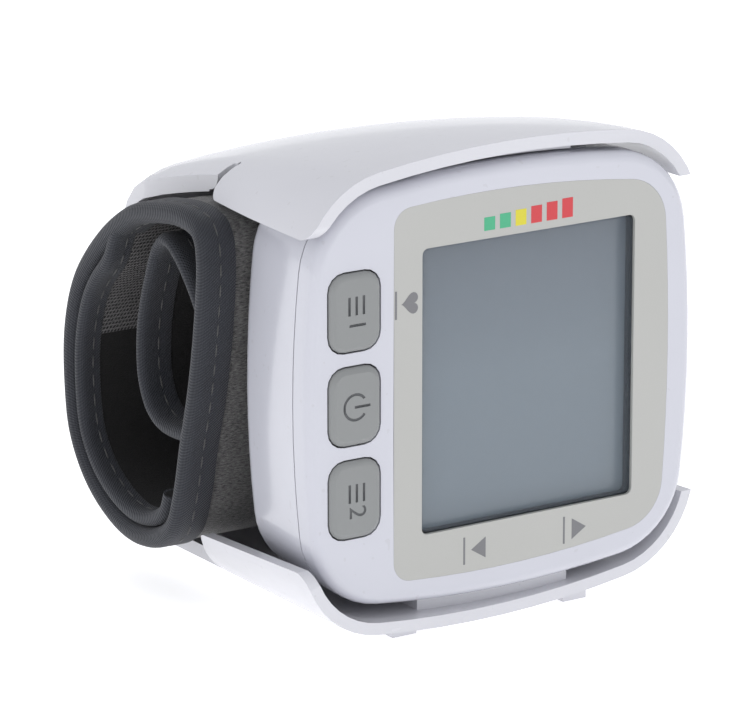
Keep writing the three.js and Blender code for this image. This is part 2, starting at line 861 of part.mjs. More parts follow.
// A place in the roll's box, drawn in by a margin
function cuffPoint([depthShare, heightShare], margin) {
  const depth = cuffFront + margin + depthShare * (cuffDepth - 2 * margin);
  const up = cuffBottom + margin + heightShare * (cuffHeight - 2 * margin);
  return new THREE.Vector3(depth, up, 0);
}

const rollThickness = 3 * clothThickness + 2 * clothGap;
const boundThickness = rollThickness + tapeGap + tapeThickness;
const rollRoute = new THREE.CatmullRomCurve3(rollShares.map((share) => cuffPoint(share, 0)), true);
const tailRoom = boundThickness + tailThickness / 2;
const tailRoute = new THREE.CatmullRomCurve3(tailShares.map((share) => cuffPoint(share, tailRoom)));

// How deep the front of the roll lies at a height
function frontOfRoll(up) {
  const samples = rollRoute.getSpacedPoints(routeSamples);
  const front = samples.filter((at) => at.x < cuffFront + cuffDepth / 4);
  const nearest = front.reduce((best, at) => (Math.abs(at.y - up) < Math.abs(best.y - up) ? at : best));
  return nearest.x;
}

// The route drawn in by a distance, from one share of its length to another
function drawnIn(route, distance, from, to, steps) {
  const points = [];
  for (let step = 0; step <= steps; step += 1) {
    const share = from + ((to - from) * step) / steps;
    const place = THREE.MathUtils.euclideanModulo(share, 1);
    const at = share === 1 && !route.closed ? 1 : place;
    const here = route.getPointAt(at);
    const along = route.getTangentAt(at);
    points.push(new THREE.Vector2(here.x + along.y * distance, here.y - along.x * distance));
  }
  return points;
}

function rollRing(outer, inner, left, right) {
  const outside = drawnIn(rollRoute, outer, 0, 1, rollSteps).slice(0, -1).reverse();
  const inside = drawnIn(rollRoute, inner, 0, 1, rollSteps).slice(0, -1).reverse();
  return prism("side", outside, left, right, inside);
}

function strip(route, outer, inner, from, to, steps, left, right) {
  const outside = drawnIn(route, outer, from, to, steps);
  const inside = drawnIn(route, inner, from, to, steps).reverse();
  return prism("side", [...outside, ...inside], left, right);
}

const clothLeft = cuffNear + tapeThickness + tapeGap;
const clothRight = cuffFar - tapeThickness - tapeGap;

function pegHoles(cloth) {
  let cut = cloth;
  for (const side of [-1, 1]) {
    const hole = circle(side * pegAcross, pegUp, pegRadius + seat);
    cut = cut.subtract(prism("front", hole, bodyDepth, bodyDepth + cuffDepth / 4));
  }
  return cut;
}

function portHole() {
  const hole = circle(portAcross, portUp, portRadius + seat);
  return prism("front", hole, bodyDepth, bodyDepth + cuffDepth / 4);
}

function outerFabric() {
  const ring = rollRing(0, clothThickness, clothLeft, clothRight);
  return piece("cuff_outer_fabric", pegHoles(ring).subtract(portHole()), "cloth");
}

function lining() {
  const ring = rollRing(rollThickness - clothThickness, rollThickness, clothLeft, clothRight);
  return piece("cuff_lining", ring, "pile");
}

const layerOuter = clothThickness + clothGap;
const layerInner = layerOuter + clothThickness;

function bladder() {
  const left = cuffNear + bladderMargin;
  const right = cuffFar - bladderMargin;
  const steps = Math.round(rollSteps * (bladderEndShare - bladderStartShare));
  const bag = strip(
    rollRoute, layerOuter, layerInner, bladderStartShare, bladderEndShare, steps, left, right,
  );
  return piece("cuff_bladder", bag.subtract(portHole()), "clearRubber");
}

function retainer() {
  const plate = strip(
    rollRoute, layerOuter, layerInner, retainerStartShare, retainerEndShare, retainerSteps,
    -retainerHalfWidth, retainerHalfWidth,
  );
  const pegEnd = frontOfRoll(pegUp) + layerOuter + clothThickness / 2;
  const pegs = [-1, 1].map((side) => {
    const peg = circle(side * pegAcross, pegUp, pegRadius);
    return prism("front", peg, bodyDepth - backWall / 2 + seat, pegEnd);
  });
  return piece("cuff_retainer", joined([plate, ...pegs]), "blackPlastic");
}

// Twill tape folded over a cut edge of the band: an outer leaf, the edge and an inner leaf
function binding(name, edge, inwards) {
  const mouth = edge + inwards * tapeWidth;
  const [left, right] = [edge, mouth].sort((a, b) => a - b);
  const fold = edge + inwards * tapeThickness;
  const open = mouth + inwards * overrun;
  const [slotLeft, slotRight] = [fold, open].sort((a, b) => a - b);
  const outer = rollRing(-tapeGap - tapeThickness, boundThickness, left, right);
  const slot = rollRing(-tapeGap, rollThickness + tapeGap, slotLeft, slotRight);
  return piece(name, outer.subtract(slot), "tape");
}

const wrapOuter = boundThickness + ledgeFit;

function innerWrap() {
  const steps = Math.round(rollSteps * (wrapEndShare - wrapStartShare));
  const turn = strip(
    rollRoute, wrapOuter, wrapOuter + wrapThickness, wrapStartShare, wrapEndShare, steps,
    cuffNear + tapeThickness, cuffFar - tapeThickness,
  );
  return piece("cuff_inner_wrap", turn, "cloth");
}

function cuffTail() {
  const loop = strip(
    tailRoute, -tailThickness / 2, tailThickness / 2, 0, 1, tailSteps,
    cuffNear + tailMargin, cuffFar - tailMargin,
  );
  return piece("cuff_tail", loop, "cloth");
}

// Storage shell

const shellTop = bodyHalfHeight + topGap + shellWall;
const shellBottom = -(bodyHalfHeight + bottomGap + shellWall);
const shellHalfWidth = bodyHalfWidth + sideGap + shellWall;
const backHalfWidth = bodyHalfWidth - backSideMargin;
const sideBendStart = shellDepth - sideBendReach;
const tabTopEdge = bodyHalfHeight - tabTopMargin;
const tabBottomEdge = tabBottomMargin - bodyHalfHeight;
const tabBack = bodyDepth + (shellDepth - bodyDepth) * tabBackShare;
const tabRound = (shellDepth - bodyDepth) * tabRoundShare;
const slotFront = tabBack + tabRound;
const wingHalfWidth = bodyHalfWidth - wingMargin;
const wallHalfWidth = bodyHalfWidth - wallMargin;

// The top wing falls away towards the back, then rounds down into the back wall
function topEdge(depth) {
  const slope = (at) => wingDrop + (2 * wingSag * at) / shellDepth ** 2;
  const line = (at) => shellTop - wingFall(at);
  const centreDepth = shellDepth - topBackRadius;
  const bendStart = centreDepth + topBackRadius * Math.sin(Math.atan(slope(centreDepth)));
  if (depth <= bendStart) {
    return line(depth);
  }
  const drop = topBackRadius - Math.sqrt(topBackRadius ** 2 - (bendStart - centreDepth) ** 2);
  const centreLevel = line(bendStart) - topBackRadius + drop;
  return centreLevel + Math.sqrt(Math.max(topBackRadius ** 2 - (depth - centreDepth) ** 2, 0));
}

function bottomEdge(depth) {
  const centreDepth = shellDepth - bottomBackRadius;
  if (depth <= centreDepth) {
    return shellBottom;
  }
  const rise = Math.sqrt(Math.max(bottomBackRadius ** 2 - (depth - centreDepth) ** 2, 0));
  return shellBottom + bottomBackRadius - rise;
}

function sideEdge(depth) {
  const share = Math.max(depth - sideBendStart, 0) / (shellDepth - sideBendStart);
  return backHalfWidth + (shellHalfWidth - backHalfWidth) * Math.sqrt(Math.max(1 - share ** 2, 0));
}

// The shell's outside, or its inside when it is drawn in by the wall
function shellForm(inset) {
  const stations = [-overrun, ...stationShares.map((share) => shellDepth * share)];
  const bendStart = shellDepth * bendShare;
  for (let step = 0; step <= bendSteps; step += 1) {
    const turn = (Math.PI / 2) * (step / bendSteps);
    stations.push(bendStart + (shellDepth - bendStart) * Math.sin(turn));
  }
  const last = shellDepth - inset;
  const sections = stations.map((station) => {
    const share = (station + overrun) / (shellDepth + overrun);
    const depth = -overrun - inset + share * (last + overrun + inset);
    const top = topEdge(station) - inset;
    const bottom = bottomEdge(station) + inset;
    const half = sideEdge(station) - inset;
    const level = (top - bottom) / 2;
    const fall = (half - Math.min(shellCorner, level)) ** 2 / (2 * shellCrown);
    const limit = Math.min(level - fall, half) * cornerLimitShare;
    const corner = Math.min(shellCorner - inset, limit);
    return { depth, points: outline(evenForm(half, bottom, top, shellCrown - inset, corner)) };
  });
  return loft(sections);
}

// Seen from above: the slanted rim, the tabs with their rounded back corners, and the narrower wings
function shellPlan() {
  const rim = shellHalfWidth + overrun;
  const inward = shellHalfWidth - wingHalfWidth;
  const wingBack = shellDepth - wingBackMargin;
  const points = [];
  const corner = (hand) => {
    const bend = [];
    for (let step = 0; step <= filletSteps * 2; step += 1) {
      const angle = (Math.PI / 2) * (step / (filletSteps * 2));
      const reach = wingHalfWidth + inward * Math.cos(angle);
      bend.push(new THREE.Vector2(hand * reach, tabBack + tabRound * Math.sin(angle)));
    }
    return bend;
  };
  points.push(new THREE.Vector2(-rim, -rimSlope * rim));
  points.push(new THREE.Vector2(rim, rimSlope * rim));
  points.push(new THREE.Vector2(rim, tabBack));
  points.push(...corner(1));
  points.push(new THREE.Vector2(wingHalfWidth, wingBack));
  points.push(new THREE.Vector2(wallHalfWidth, shellDepth + overrun));
  points.push(new THREE.Vector2(-wallHalfWidth, shellDepth + overrun));
  points.push(new THREE.Vector2(-wingHalfWidth, wingBack));
  points.push(...corner(-1).reverse());
  points.push(new THREE.Vector2(-rim, tabBack));
  return points;
}

// Seen from the side: the opening between the tabs. Its edges run along the wings at the depth of
// the tabs, and its front corners are rounded
function sideOpening() {
  const front = -rimSlope * (shellHalfWidth + overrun) - overrun;
  const mouth = -rimSlope * shellHalfWidth;
  const lip = mouth + tabCorner;
  const topDrop = topEdge(slotFront) - tabTopEdge;
  const bottomRise = tabBottomEdge - tabBottomFall - shellBottom;
  const upperLip = new THREE.Vector2(lip, tabTopEdge + tabCorner);
  const lowerLip = new THREE.Vector2(lip, tabBottomEdge - tabCorner);
  const above = arc(upperLip, tabCorner, Math.PI, Math.PI * 1.5, filletSteps);
  const below = arc(lowerLip, tabCorner, Math.PI / 2, Math.PI, filletSteps);
  const upper = [];
  const lower = [];
  for (let step = 0; step <= bendSteps * 2; step += 1) {
    const turn = (Math.PI / 2) * (step / (bendSteps * 2));
    const depth = slotFront + (shellDepth - slotFront) * Math.sin(turn);
    upper.push(new THREE.Vector2(depth, topEdge(depth) - topDrop));
    lower.push(new THREE.Vector2(depth, bottomEdge(depth) + bottomRise));
  }
  const behind = shellDepth + overrun;
  return [
    new THREE.Vector2(front, tabTopEdge + tabCorner),
    ...above,
    new THREE.Vector2(lip, tabTopEdge),
    ...upper,
    new THREE.Vector2(behind, upper.at(-1).y),
    new THREE.Vector2(behind, lower.at(-1).y),
    ...lower.reverse(),
    new THREE.Vector2(lip, tabBottomEdge),
    ...below,
    new THREE.Vector2(mouth, tabBottomEdge - tabCorner),
    new THREE.Vector2(front, tabBottomEdge - tabCorner),
  ];
}

function ledges(outside, inside) {
  const left = -ledgeHalfWidth;
  const right = ledgeHalfWidth;
  const back = bodyDepth - ledgeBackMargin;
  const region = joined([
    block(left, right, ledgeFront, back, bodyHalfHeight - overrun, shellTop - seat),
    block(left, right, ledgeFront, back, shellBottom + seat, -bodyHalfHeight + overrun),
  ]);
  const body = prism("front", outline(bodyForm, -ledgeFit), -overrun, shellDepth);
  const skin = inside.subtract(body).intersect(region);
  return skin.add(region.subtract(inside).intersect(outside));
}

function feet() {
  return [-footAcross, footAcross].flatMap((across) => {
    return [frontFootDepth, shellDepth - backFootMargin].map((depth) => {
      const low = shellBottom - footDrop;
      const high = shellBottom + footRoot;
      const side = [
        new THREE.Vector2(depth, high),
        new THREE.Vector2(depth, low),
        new THREE.Vector2(depth + footLength, low),
        new THREE.Vector2(depth + footLength + footTaper, high),
      ];
      return prism("side", side, across - footWidth / 2, across + footWidth / 2);
    });
  });
}

function storageShell() {
  const outside = shellForm(0);
  const inside = shellForm(shellWall);
  let wings = joined([outside.subtract(inside), ledges(outside, inside), ...feet()]);
  const low = shellBottom - footDrop - overrun;
  const high = shellTop + overrun;
  wings = wings.intersect(prism("plan", shellPlan(), low, high));
  const openingHalf = wallHalfWidth - openingReach;
  for (const hand of [-1, 1]) {
    const far = hand * (shellHalfWidth + overrun);
    const [left, right] = [hand * openingHalf, far].sort((a, b) => a - b);
    wings = wings.subtract(prism("side", sideOpening(), left, right));
    const [slotLeft, slotRight] = [hand * (wingHalfWidth - slotDepth), far].sort((a, b) => a - b);
    wings = wings.subtract(block(slotLeft, slotRight, slotFront, slotFront + slotWidth, low, high));
  }
  return piece("storage_shell", wings, "shellWhite");
}

// Assembly

const monitor = new THREE.Group();
monitor.add(frontHousing(), rearHousing(), facePanel(), displayLens(), lcdFrame(), lcdGlass());
monitor.add(lcdConnector(), mainBoard(), batteryCover());
const buttonNames = ["memory_button_2", "power_button", "memory_button_1"];
buttonPlaces.forEach((up, index) => {
  monitor.add(button(buttonNames[index], up), tactSwitch(`switch_${index + 1}`, up));
});
screwPlaces.forEach(([across, up], index) => {
  monitor.add(caseScrew(`case_screw_${index + 1}`, across, up));
});
monitor.add(battery("battery_1", cellPlaces[0], 1), battery("battery_2", cellPlaces[1], -1));
monitor.add(batteryContact("battery_contact_top", 1), batteryContact("battery_contact_bottom", -1));
monitor.add(pumpMotor(), pumpHead(), deflationValve(), pressureSensor(), airPipe());
monitor.add(cuffNipple(frontOfRoll(portUp) + layerOuter + clothThickness / 2));

const cuff = new THREE.Group();
cuff.add(outerFabric(), lining(), bladder(), retainer());
cuff.add(binding("cuff_binding_near", cuffNear, 1), binding("cuff_binding_far", cuffFar, -1));
cuff.add(innerWrap(), cuffTail());

const wristMonitor = new THREE.Group();
wristMonitor.add(storageShell(), monitor, cuff);

// The origin goes to the middle of the underside
const reach = new THREE.Box3().setFromObject(wristMonitor, true);
const middle = reach.getCenter(new THREE.Vector3());
wristMonitor.position.set(-middle.x, -middle.y, -reach.min.z);
wristMonitor.updateMatrixWorld(true);

export default wristMonitor;
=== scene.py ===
# %% [markdown]
# # A wrist blood pressure monitor in its storage shell
# The shapes come from the CAD frame, in metres. This lesson dresses them: glossy white mouldings, a
# printed grey panel, a cold display, engraved keys and a cuff of taped, stitched cloth. Each step says
# what the thing is in the hand, and why it is made as it is.

import math

import bmesh
import bpy
import numpy as np
from mathutils import Matrix, Vector, noise


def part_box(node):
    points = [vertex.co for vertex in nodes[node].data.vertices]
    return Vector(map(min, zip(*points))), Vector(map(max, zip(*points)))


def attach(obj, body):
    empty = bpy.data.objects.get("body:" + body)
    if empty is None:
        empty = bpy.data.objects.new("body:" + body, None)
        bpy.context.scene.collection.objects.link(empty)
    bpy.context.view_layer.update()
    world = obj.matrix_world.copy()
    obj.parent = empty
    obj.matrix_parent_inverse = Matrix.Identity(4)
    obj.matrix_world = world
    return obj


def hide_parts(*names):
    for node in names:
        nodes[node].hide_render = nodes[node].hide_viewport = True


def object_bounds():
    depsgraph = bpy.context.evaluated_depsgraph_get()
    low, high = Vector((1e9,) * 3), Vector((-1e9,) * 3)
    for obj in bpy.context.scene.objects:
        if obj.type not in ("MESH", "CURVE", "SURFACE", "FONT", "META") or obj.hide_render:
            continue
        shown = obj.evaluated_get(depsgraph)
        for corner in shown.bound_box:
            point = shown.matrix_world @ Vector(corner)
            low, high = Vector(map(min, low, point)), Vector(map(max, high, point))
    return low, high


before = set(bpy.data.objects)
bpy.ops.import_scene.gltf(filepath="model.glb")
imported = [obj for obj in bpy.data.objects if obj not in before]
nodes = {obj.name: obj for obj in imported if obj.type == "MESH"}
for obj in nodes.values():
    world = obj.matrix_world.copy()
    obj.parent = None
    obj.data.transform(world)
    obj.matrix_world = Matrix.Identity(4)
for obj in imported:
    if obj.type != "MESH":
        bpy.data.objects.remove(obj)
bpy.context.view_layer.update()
MM = 0.001
print("nodes in the frame:", len(nodes))

# %% [markdown]
# The monitor is measured from the middle of its front face, as its maker would. The casing's own box
# gives that point, so every place below is written in millimetres across, deep and up from it.

# %% A place on the casing
casing_low, casing_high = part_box("front_housing")
face_middle = Vector(((casing_low.x + casing_high.x) / 2, casing_low.y, (casing_low.z + casing_high.z) / 2))


def place(across, deep, up):
    """A point, from millimetres across, deep and up from the middle of the casing's face."""
    return face_middle + Vector((across, deep, up)) * MM


print("middle of the face:", [round(value, 4) for value in face_middle])

# %% [markdown]
# The photograph was taken from the left of the face and a little above it, with a long lens. A camera
# on a circle round an aim point is easy to keep true: two angles and one distance say where it is. The
# numbers were fitted until the display's corners, the keys and the seam fell where the photograph has them.

# %% Camera
AIM = place(-23.685, 0, 7.714)
AZIMUTH = math.radians(-33.04)
ELEVATION = math.radians(15.85)
DISTANCE = 0.7815
back = Vector((
    math.sin(AZIMUTH) * math.cos(ELEVATION),
    -math.cos(AZIMUTH) * math.cos(ELEVATION),
    math.sin(ELEVATION),
))
view_turn = (-back).to_track_quat("-Z", "Y").to_euler()
bpy.ops.object.camera_add(location=AIM + back * DISTANCE, rotation=view_turn)
camera = bpy.context.object
camera.name = "photo_camera"
camera.data.lens = 249.57
camera.data.sensor_width = 36
bpy.context.scene.camera = camera
print("camera stands", round(DISTANCE, 3), "m away")

# %% [markdown]
# Shader maths can be drawn node by node, but sums read best as sums. A small class holds a socket, and
# plain operators on it add the Math nodes. Its waves make every weave in this lesson.

# %% Shader sums
class Sum:
    """A number in a shader: + - * / and powers on it add Math nodes."""

    def __init__(self, finish, socket):
        self.finish = finish
        self.socket = socket

    def maths(self, operation, *values):
        return self.finish.add("ShaderNodeMath", {"operation": operation}, dict(enumerate(values)))

    def __add__(self, other):
        return self.maths("ADD", self, other)

    def __sub__(self, other):
        return self.maths("SUBTRACT", self, other)

    def __rsub__(self, other):
        return self.maths("SUBTRACT", other, self)

    def __mul__(self, other):
        return self.maths("MULTIPLY", self, other)

    def __truediv__(self, other):
        return self.maths("DIVIDE", self, other)

    def power(self, exponent):
        return self.maths("POWER", self, exponent)

    def sine(self):
        return self.maths("SINE", self)

    def above(self, level):
        return self.maths("GREATER_THAN", self, level)

    def below(self, level):
        return self.maths("LESS_THAN", self, level)

    def larger(self, other):
        return self.maths("MAXIMUM", self, other)

    def wave(self, pitch):
        """A wave from 0 to 1 that comes back after each pitch."""
        return (self * (2 * math.pi / pitch)).sine() * 0.5 + 0.5


print("shader sums ready")

# %% [markdown]
# Every surface here is one material round one shader. Its constants go on the shader's own sockets, and one
# method adds any other node. What changes over a surface is fed in by name.

# %% A finish: one material and its nodes
class Finish:
    """A procedural material."""

    def __init__(self, name, **constants):
        self.material = bpy.data.materials.new(name)
        self.material.use_nodes = True
        self.tree = self.material.node_tree
        self.shader = self.tree.nodes["Principled BSDF"]
        for words, value in constants.items():
            self.shader.inputs[words.replace("_", " ")].default_value = value

    def add(self, kind, settings=None, sockets=None, output=0):
        """Adds any node: its settings first, then the values or links of its sockets."""
        node = self.tree.nodes.new(kind)
        for word, value in (settings or {}).items():
            setattr(node, word, value)
        for key, value in (sockets or {}).items():
            if isinstance(value, Sum):
                self.tree.links.new(value.socket, node.inputs[key])
            else:
                node.inputs[key].default_value = value
        return Sum(self, node.outputs[output])

    def where(self, output="Object"):
        """The place on the surface: in metres, or on its own map where that is asked for."""
        return self.add("ShaderNodeTexCoord", output=output)

    def split(self, vector):
        parts = self.add("ShaderNodeSeparateXYZ", sockets={0: vector}).socket.node.outputs
        return [Sum(self, part) for part in parts]

    def noise(self, scale, detail=3.0, roughness=0.5, vector=None):
        return self.add("ShaderNodeTexNoise", sockets={
            "Vector": vector or self.where(), "Scale": scale, "Detail": detail, "Roughness": roughness,
        })

    def stretched(self, vector, sizes):
        return self.add("ShaderNodeMapping", sockets={"Vector": vector, "Scale": sizes})

    def between(self, factor, first, second):
        """A colour mixed from two by a factor."""
        first = first if isinstance(first, Sum) else (*first, 1)
        second = second if isinstance(second, Sum) else (*second, 1)
        return self.add("ShaderNodeMix", {"data_type": "RGBA"}, {0: factor, 6: first, 7: second}, output=2)

    def feed(self, **links):
        """Links sums to the shader's sockets."""
        for words, value in links.items():
            self.tree.links.new(value.socket, self.shader.inputs[words.replace("_", " ")])
        return self

    def relief(self, height, depth_mm):
        """Fine relief, as bump: for what is too small to be shaped."""
        bump = self.add("ShaderNodeBump", sockets={"Height": height, "Distance": depth_mm * MM})
        return self.feed(Normal=bump)


print("finishes can be made")

# %% [markdown]
# The mouldings are polished ABS. Under a soft light it shows a slow swell like orange peel, fine
# polishing marks that break the gloss, and a little dust. One function makes all the plastics, so each
# colour differs only in its numbers.

# %% Moulded plastics
DUST = (0.34, 0.32, 0.30)


def moulded(name, colour, gloss, swell=0.02, coat=0.0, grain=0.0):
    """A plastic. The grain is 0 for a polished mould and 1 for a sandblasted one."""
    finish = Finish(name, Coat_Weight=coat, Coat_Roughness=0.08, IOR=1.5)
    slow = finish.noise(45.0, 2.0)
    fine = finish.noise(2600.0, 2.0)
    marks = finish.noise(160.0, 2.0, 0.5, finish.stretched(finish.where(), (1.0, 1.0, 5.0)))
    dust = finish.noise(900.0, 0.0).above(0.80)
    darker, lighter = ([value * share for value in colour] for share in (0.965, 1.03))
    finish.feed(Base_Color=finish.between(dust * 0.12, finish.between(slow, darker, lighter), DUST))
    finish.feed(Roughness=marks * 0.05 + (gloss - 0.025))
    finish.relief(finish.noise(420.0, 2.0) * (1.0 - grain) + fine * grain, swell)
    return finish.material


shell_white = moulded("shell_white", (0.655, 0.655, 0.690), 0.26, swell=0.010, coat=0.25)
casing_white = moulded("casing_white", (0.585, 0.590, 0.645), 0.17, swell=0.012, coat=0.5)
button_grey = moulded("button_grey", (0.255, 0.263, 0.261), 0.42, grain=0.6)
mark_grey = moulded("mark_grey", (0.13, 0.135, 0.14), 0.5, grain=0.6)
black_plastic = moulded("black_plastic", (0.018, 0.018, 0.020), 0.45, grain=0.5)
dark_frame = moulded("dark_frame", (0.035, 0.038, 0.045), 0.5, grain=0.5)
print("plastics ready")

# %% [markdown]
# The panel round the display is a printed film: a warm grey with a very fine grain and a satin sheen.
# The display itself is a cold grey glass, with shade painted on it that darkens it a little towards its top.

# %% Panel, display and lens
def panel_film():
    finish = Finish("panel_grey", IOR=1.45)
    cloud = finish.noise(28.0, 2.0)
    grain = finish.noise(5200.0, 1.0)
    shade = cloud * 0.6 + grain * 0.4
    finish.feed(Base_Color=finish.between(shade, (0.445, 0.445, 0.420), (0.495, 0.495, 0.473)))
    finish.feed(Roughness=grain * 0.12 + 0.30)
    return finish.relief(grain, 0.006).material


PAINTED_SHADE_HEIGHT = 24


def display_glass():
    finish = Finish("display_glass", IOR=1.5, Coat_Weight=0.4, Coat_Roughness=0.05)
    up = finish.split(finish.where())[2]
    # Painted shade: the glass is darker the higher it lies above the middle of the face, darkest at the
    # painted shade height.
    level = ((up - face_middle.z) / (PAINTED_SHADE_HEIGHT * MM)).larger(0.0)
    finish.feed(Base_Color=finish.between(level, (0.220, 0.262, 0.300), (0.156, 0.181, 0.214)))
    finish.feed(Roughness=finish.noise(60.0) * 0.08 + 0.12)
    return finish.material


def clear_lens():
    """A window with faint smears. Its tint is the display's own, so that it hides nothing."""
    finish = Finish("clear_lens", IOR=1.46, Alpha=0.10, Base_Color=(0.19, 0.225, 0.255, 1))
    smears = finish.noise(55.0, 4.0, 0.65)
    finish.feed(Roughness=smears * 0.12 + 0.02)
    finish.material.surface_render_method = "BLENDED"
    return finish.material


panel_grey = panel_film()
lcd_glass_finish = display_glass()
lens_clear = clear_lens()
print("panel, display and lens ready")

# %% [markdown]
# Inside are parts that most owners never see. They get what the real ones have: brushed steel,
# a green board with a faint weave of glass cloth, plated contacts, printed cells and a soft clear tube.

# %% Metals, board and rubber
def metal(name, colour, rough, brushed):
    """A metal with brush lines. The last value says how much finer the lines are along each axis."""
    finish = Finish(name, Metallic=1.0)
    lines = finish.noise(300.0, 3.0, 0.6, finish.stretched(finish.where(), brushed))
    finish.feed(Base_Color=finish.between(lines, [value * 0.8 for value in colour], colour))
    finish.feed(Roughness=lines * 0.2 + rough)
    return finish.relief(lines, 0.01).material


GLASS_CLOTH = 0.8


def board_green():
    finish = Finish("board_green", Coat_Weight=0.6, Coat_Roughness=0.15)
    across, _, up = finish.split(finish.where())
    cloth = across.wave(GLASS_CLOTH * MM) * up.wave(GLASS_CLOTH * MM)
    tracks = finish.noise(420.0, 0.0).above(0.56)
    green = finish.between(cloth * 0.4, (0.010, 0.085, 0.040), (0.020, 0.120, 0.060))
    finish.feed(Base_Color=finish.between(tracks * 0.45, green, (0.05, 0.22, 0.10)))
    finish.feed(Roughness=cloth * 0.1 + 0.35)
    return finish.relief(tracks, 0.03).material


def clear_rubber():
    finish = Finish("clear_rubber", IOR=1.41, Subsurface_Weight=0.2)
    cloud = finish.noise(300.0)
    finish.feed(Base_Color=finish.between(cloud, (0.52, 0.54, 0.53), (0.68, 0.70, 0.68)))
    finish.feed(Roughness=cloud * 0.2 + 0.35)
    return finish.relief(cloud, 0.03).material


steel = metal("steel", (0.62, 0.62, 0.63), 0.22, (1.0, 1.0, 14.0))
contact_metal = metal("contact_metal", (0.72, 0.66, 0.50), 0.2, (14.0, 1.0, 1.0))
cell_metal = metal("cell_metal", (0.22, 0.30, 0.52), 0.25, (1.0, 1.0, 10.0))
circuit_green = board_green()
rubber = clear_rubber()
print("metals, board and rubber ready")

# %% [markdown]
# Cloth is read by its weave. The tape is a fine twill, the outside of the band a brushed grey loop
# cloth, its lining a black pile, and a patch of net backs the free end. Their patterns follow the band,
# so they are drawn on a map laid along it: the first number is the way along, the second the way across.

# %% Cloths
PAINTED_LIGHT_HEIGHT = 36
NET_ALONG, NET_SLANTED = 0.72, 0.62
NET_START, NET_END = 0.8, 26.0


def tape_twill():
    """Slanting twill ribs with the yarn across them. The pitches are in millimetres."""
    finish = Finish("binding_tape", Sheen_Weight=0.15, Sheen_Roughness=0.45)
    along, across, _ = finish.split(finish.where("UV"))
    slow = finish.noise(140.0, 3.0)
    twill = (along + across * 0.9).wave(0.52)
    yarn = across.wave(0.30)
    weave = twill * 0.7 + yarn * 0.3
    dark = finish.between(slow, (0.0085, 0.0095, 0.0135), (0.0200, 0.0225, 0.0295))
    finish.feed(Base_Color=finish.between(weave * 0.45, dark, (0.048, 0.052, 0.065)))
    finish.feed(Roughness=0.85 - weave * 0.15)
    return finish.relief(weave, 0.11).material


def brushed_cloth():
    """Grey loop cloth, brushed across the band, with light painted on that makes it paler low down."""
    finish = Finish("cuff_cloth", Sheen_Weight=0.35, Sheen_Roughness=0.5)
    up = finish.split(finish.where())[2]
    fibres = finish.noise(1.0, 4.0, 0.7, finish.stretched(finish.where("UV"), (4.4, 1.1, 1.0)))
    slow = finish.noise(0.16, 3.0, 0.6, finish.where("UV"))
    # Painted light: the cloth is made paler the lower it lies, as light thrown up from the white shell makes
    # it.
    painted_light_low = (0.7 - up / (PAINTED_LIGHT_HEIGHT * MM)).larger(0.0)
    tone = (fibres - 0.5) * 2.4 + slow * 0.5 + painted_light_low * 0.35 + 0.12
    finish.feed(Base_Color=finish.between(tone, (0.016, 0.015, 0.015), (0.235, 0.230, 0.222)))
    finish.feed(Roughness=0.98 - fibres * 0.1)
    return finish.relief(fibres, 0.22).material


def loop_pile(name="loop_pile", patch_start=0.0, patch_end=0.0):
    """Black pile. Between the two places along the band, a net of grey squares lies over it."""
    finish = Finish(name, Sheen_Weight=0.05, Sheen_Roughness=0.5)
    along, across, _ = finish.split(finish.where("UV"))
    loops = finish.noise(3.2, 3.0, 0.75, finish.where("UV"))
    tufts = finish.noise(0.5, 3.0, 0.6, finish.where("UV"))
    pelt = loops * 0.6 + tufts * 0.4
    black = finish.between(pelt, (0.001, 0.001, 0.0011), (0.0100, 0.0092, 0.0090))
    cell = along.wave(NET_ALONG).larger((across + along * 0.5).wave(NET_SLANTED)).power(2.0)
    patch = along.above(patch_start) * along.below(patch_end)
    net = finish.between(cell, (0.011, 0.011, 0.0115), (0.205, 0.196, 0.196))
    finish.feed(Base_Color=finish.between(patch, black, net))
    finish.feed(Roughness=0.97 - loops * 0.08)
    return finish.relief(loops * (1.0 - patch) + cell * patch, 0.25).material


def thread():
    """Pale thread, with the twist of its strands."""
    finish = Finish("stitch_thread", Sheen_Weight=0.3)
    twist = finish.noise(2600.0, 2.0)
    finish.feed(Base_Color=finish.between(twist, (0.038, 0.038, 0.038), (0.100, 0.100, 0.096)))
    finish.feed(Roughness=0.9 - twist * 0.2)
    return finish.relief(twist, 0.05).material


binding_tape = tape_twill()
cuff_cloth = brushed_cloth()
pile = loop_pile()
net_pile = loop_pile("net_pile", NET_START, NET_END)
stitch_thread = thread()
print("cloths ready")

# %% [markdown]
# A CAD node is flat triangles. A good moulding has soft edges that catch the light, so each visible
# part is copied, its corners joined, its flat faces made whole, its sharp edges rounded a little, and
# its faces shaded smooth. The copy then stands for the node.

# %% Copies of CAD nodes
WELD = 0.002
FLAT_ANGLE, SHARP_ANGLE, SMOOTH_ANGLE = 0.4, 35, 32


def pick(piece):
    """Makes the piece the only one selected."""
    bpy.ops.object.select_all(action="DESELECT")
    piece.select_set(True)
    bpy.context.view_layer.objects.active = piece
    return piece


def new_piece(name, data):
    """An object of its own for a mesh or a curve, put in the scene and picked."""
    piece = bpy.data.objects.new(name, data)
    bpy.context.scene.collection.objects.link(piece)
    return pick(piece)


def copy_of(node, name):
    """A copy of a CAD node with its triangles joined into one skin."""
    piece = new_piece(name, nodes[node].data.copy())
    piece.data.name = name
    bpy.ops.mesh.customdata_custom_splitnormals_clear()
    bpy.ops.object.mode_set(mode="EDIT")
    bpy.ops.mesh.select_all(action="SELECT")
    bpy.ops.mesh.remove_doubles(threshold=WELD * MM)
    bpy.ops.mesh.dissolve_limited(angle_limit=math.radians(FLAT_ANGLE))
    bpy.ops.object.mode_set(mode="OBJECT")
    return piece


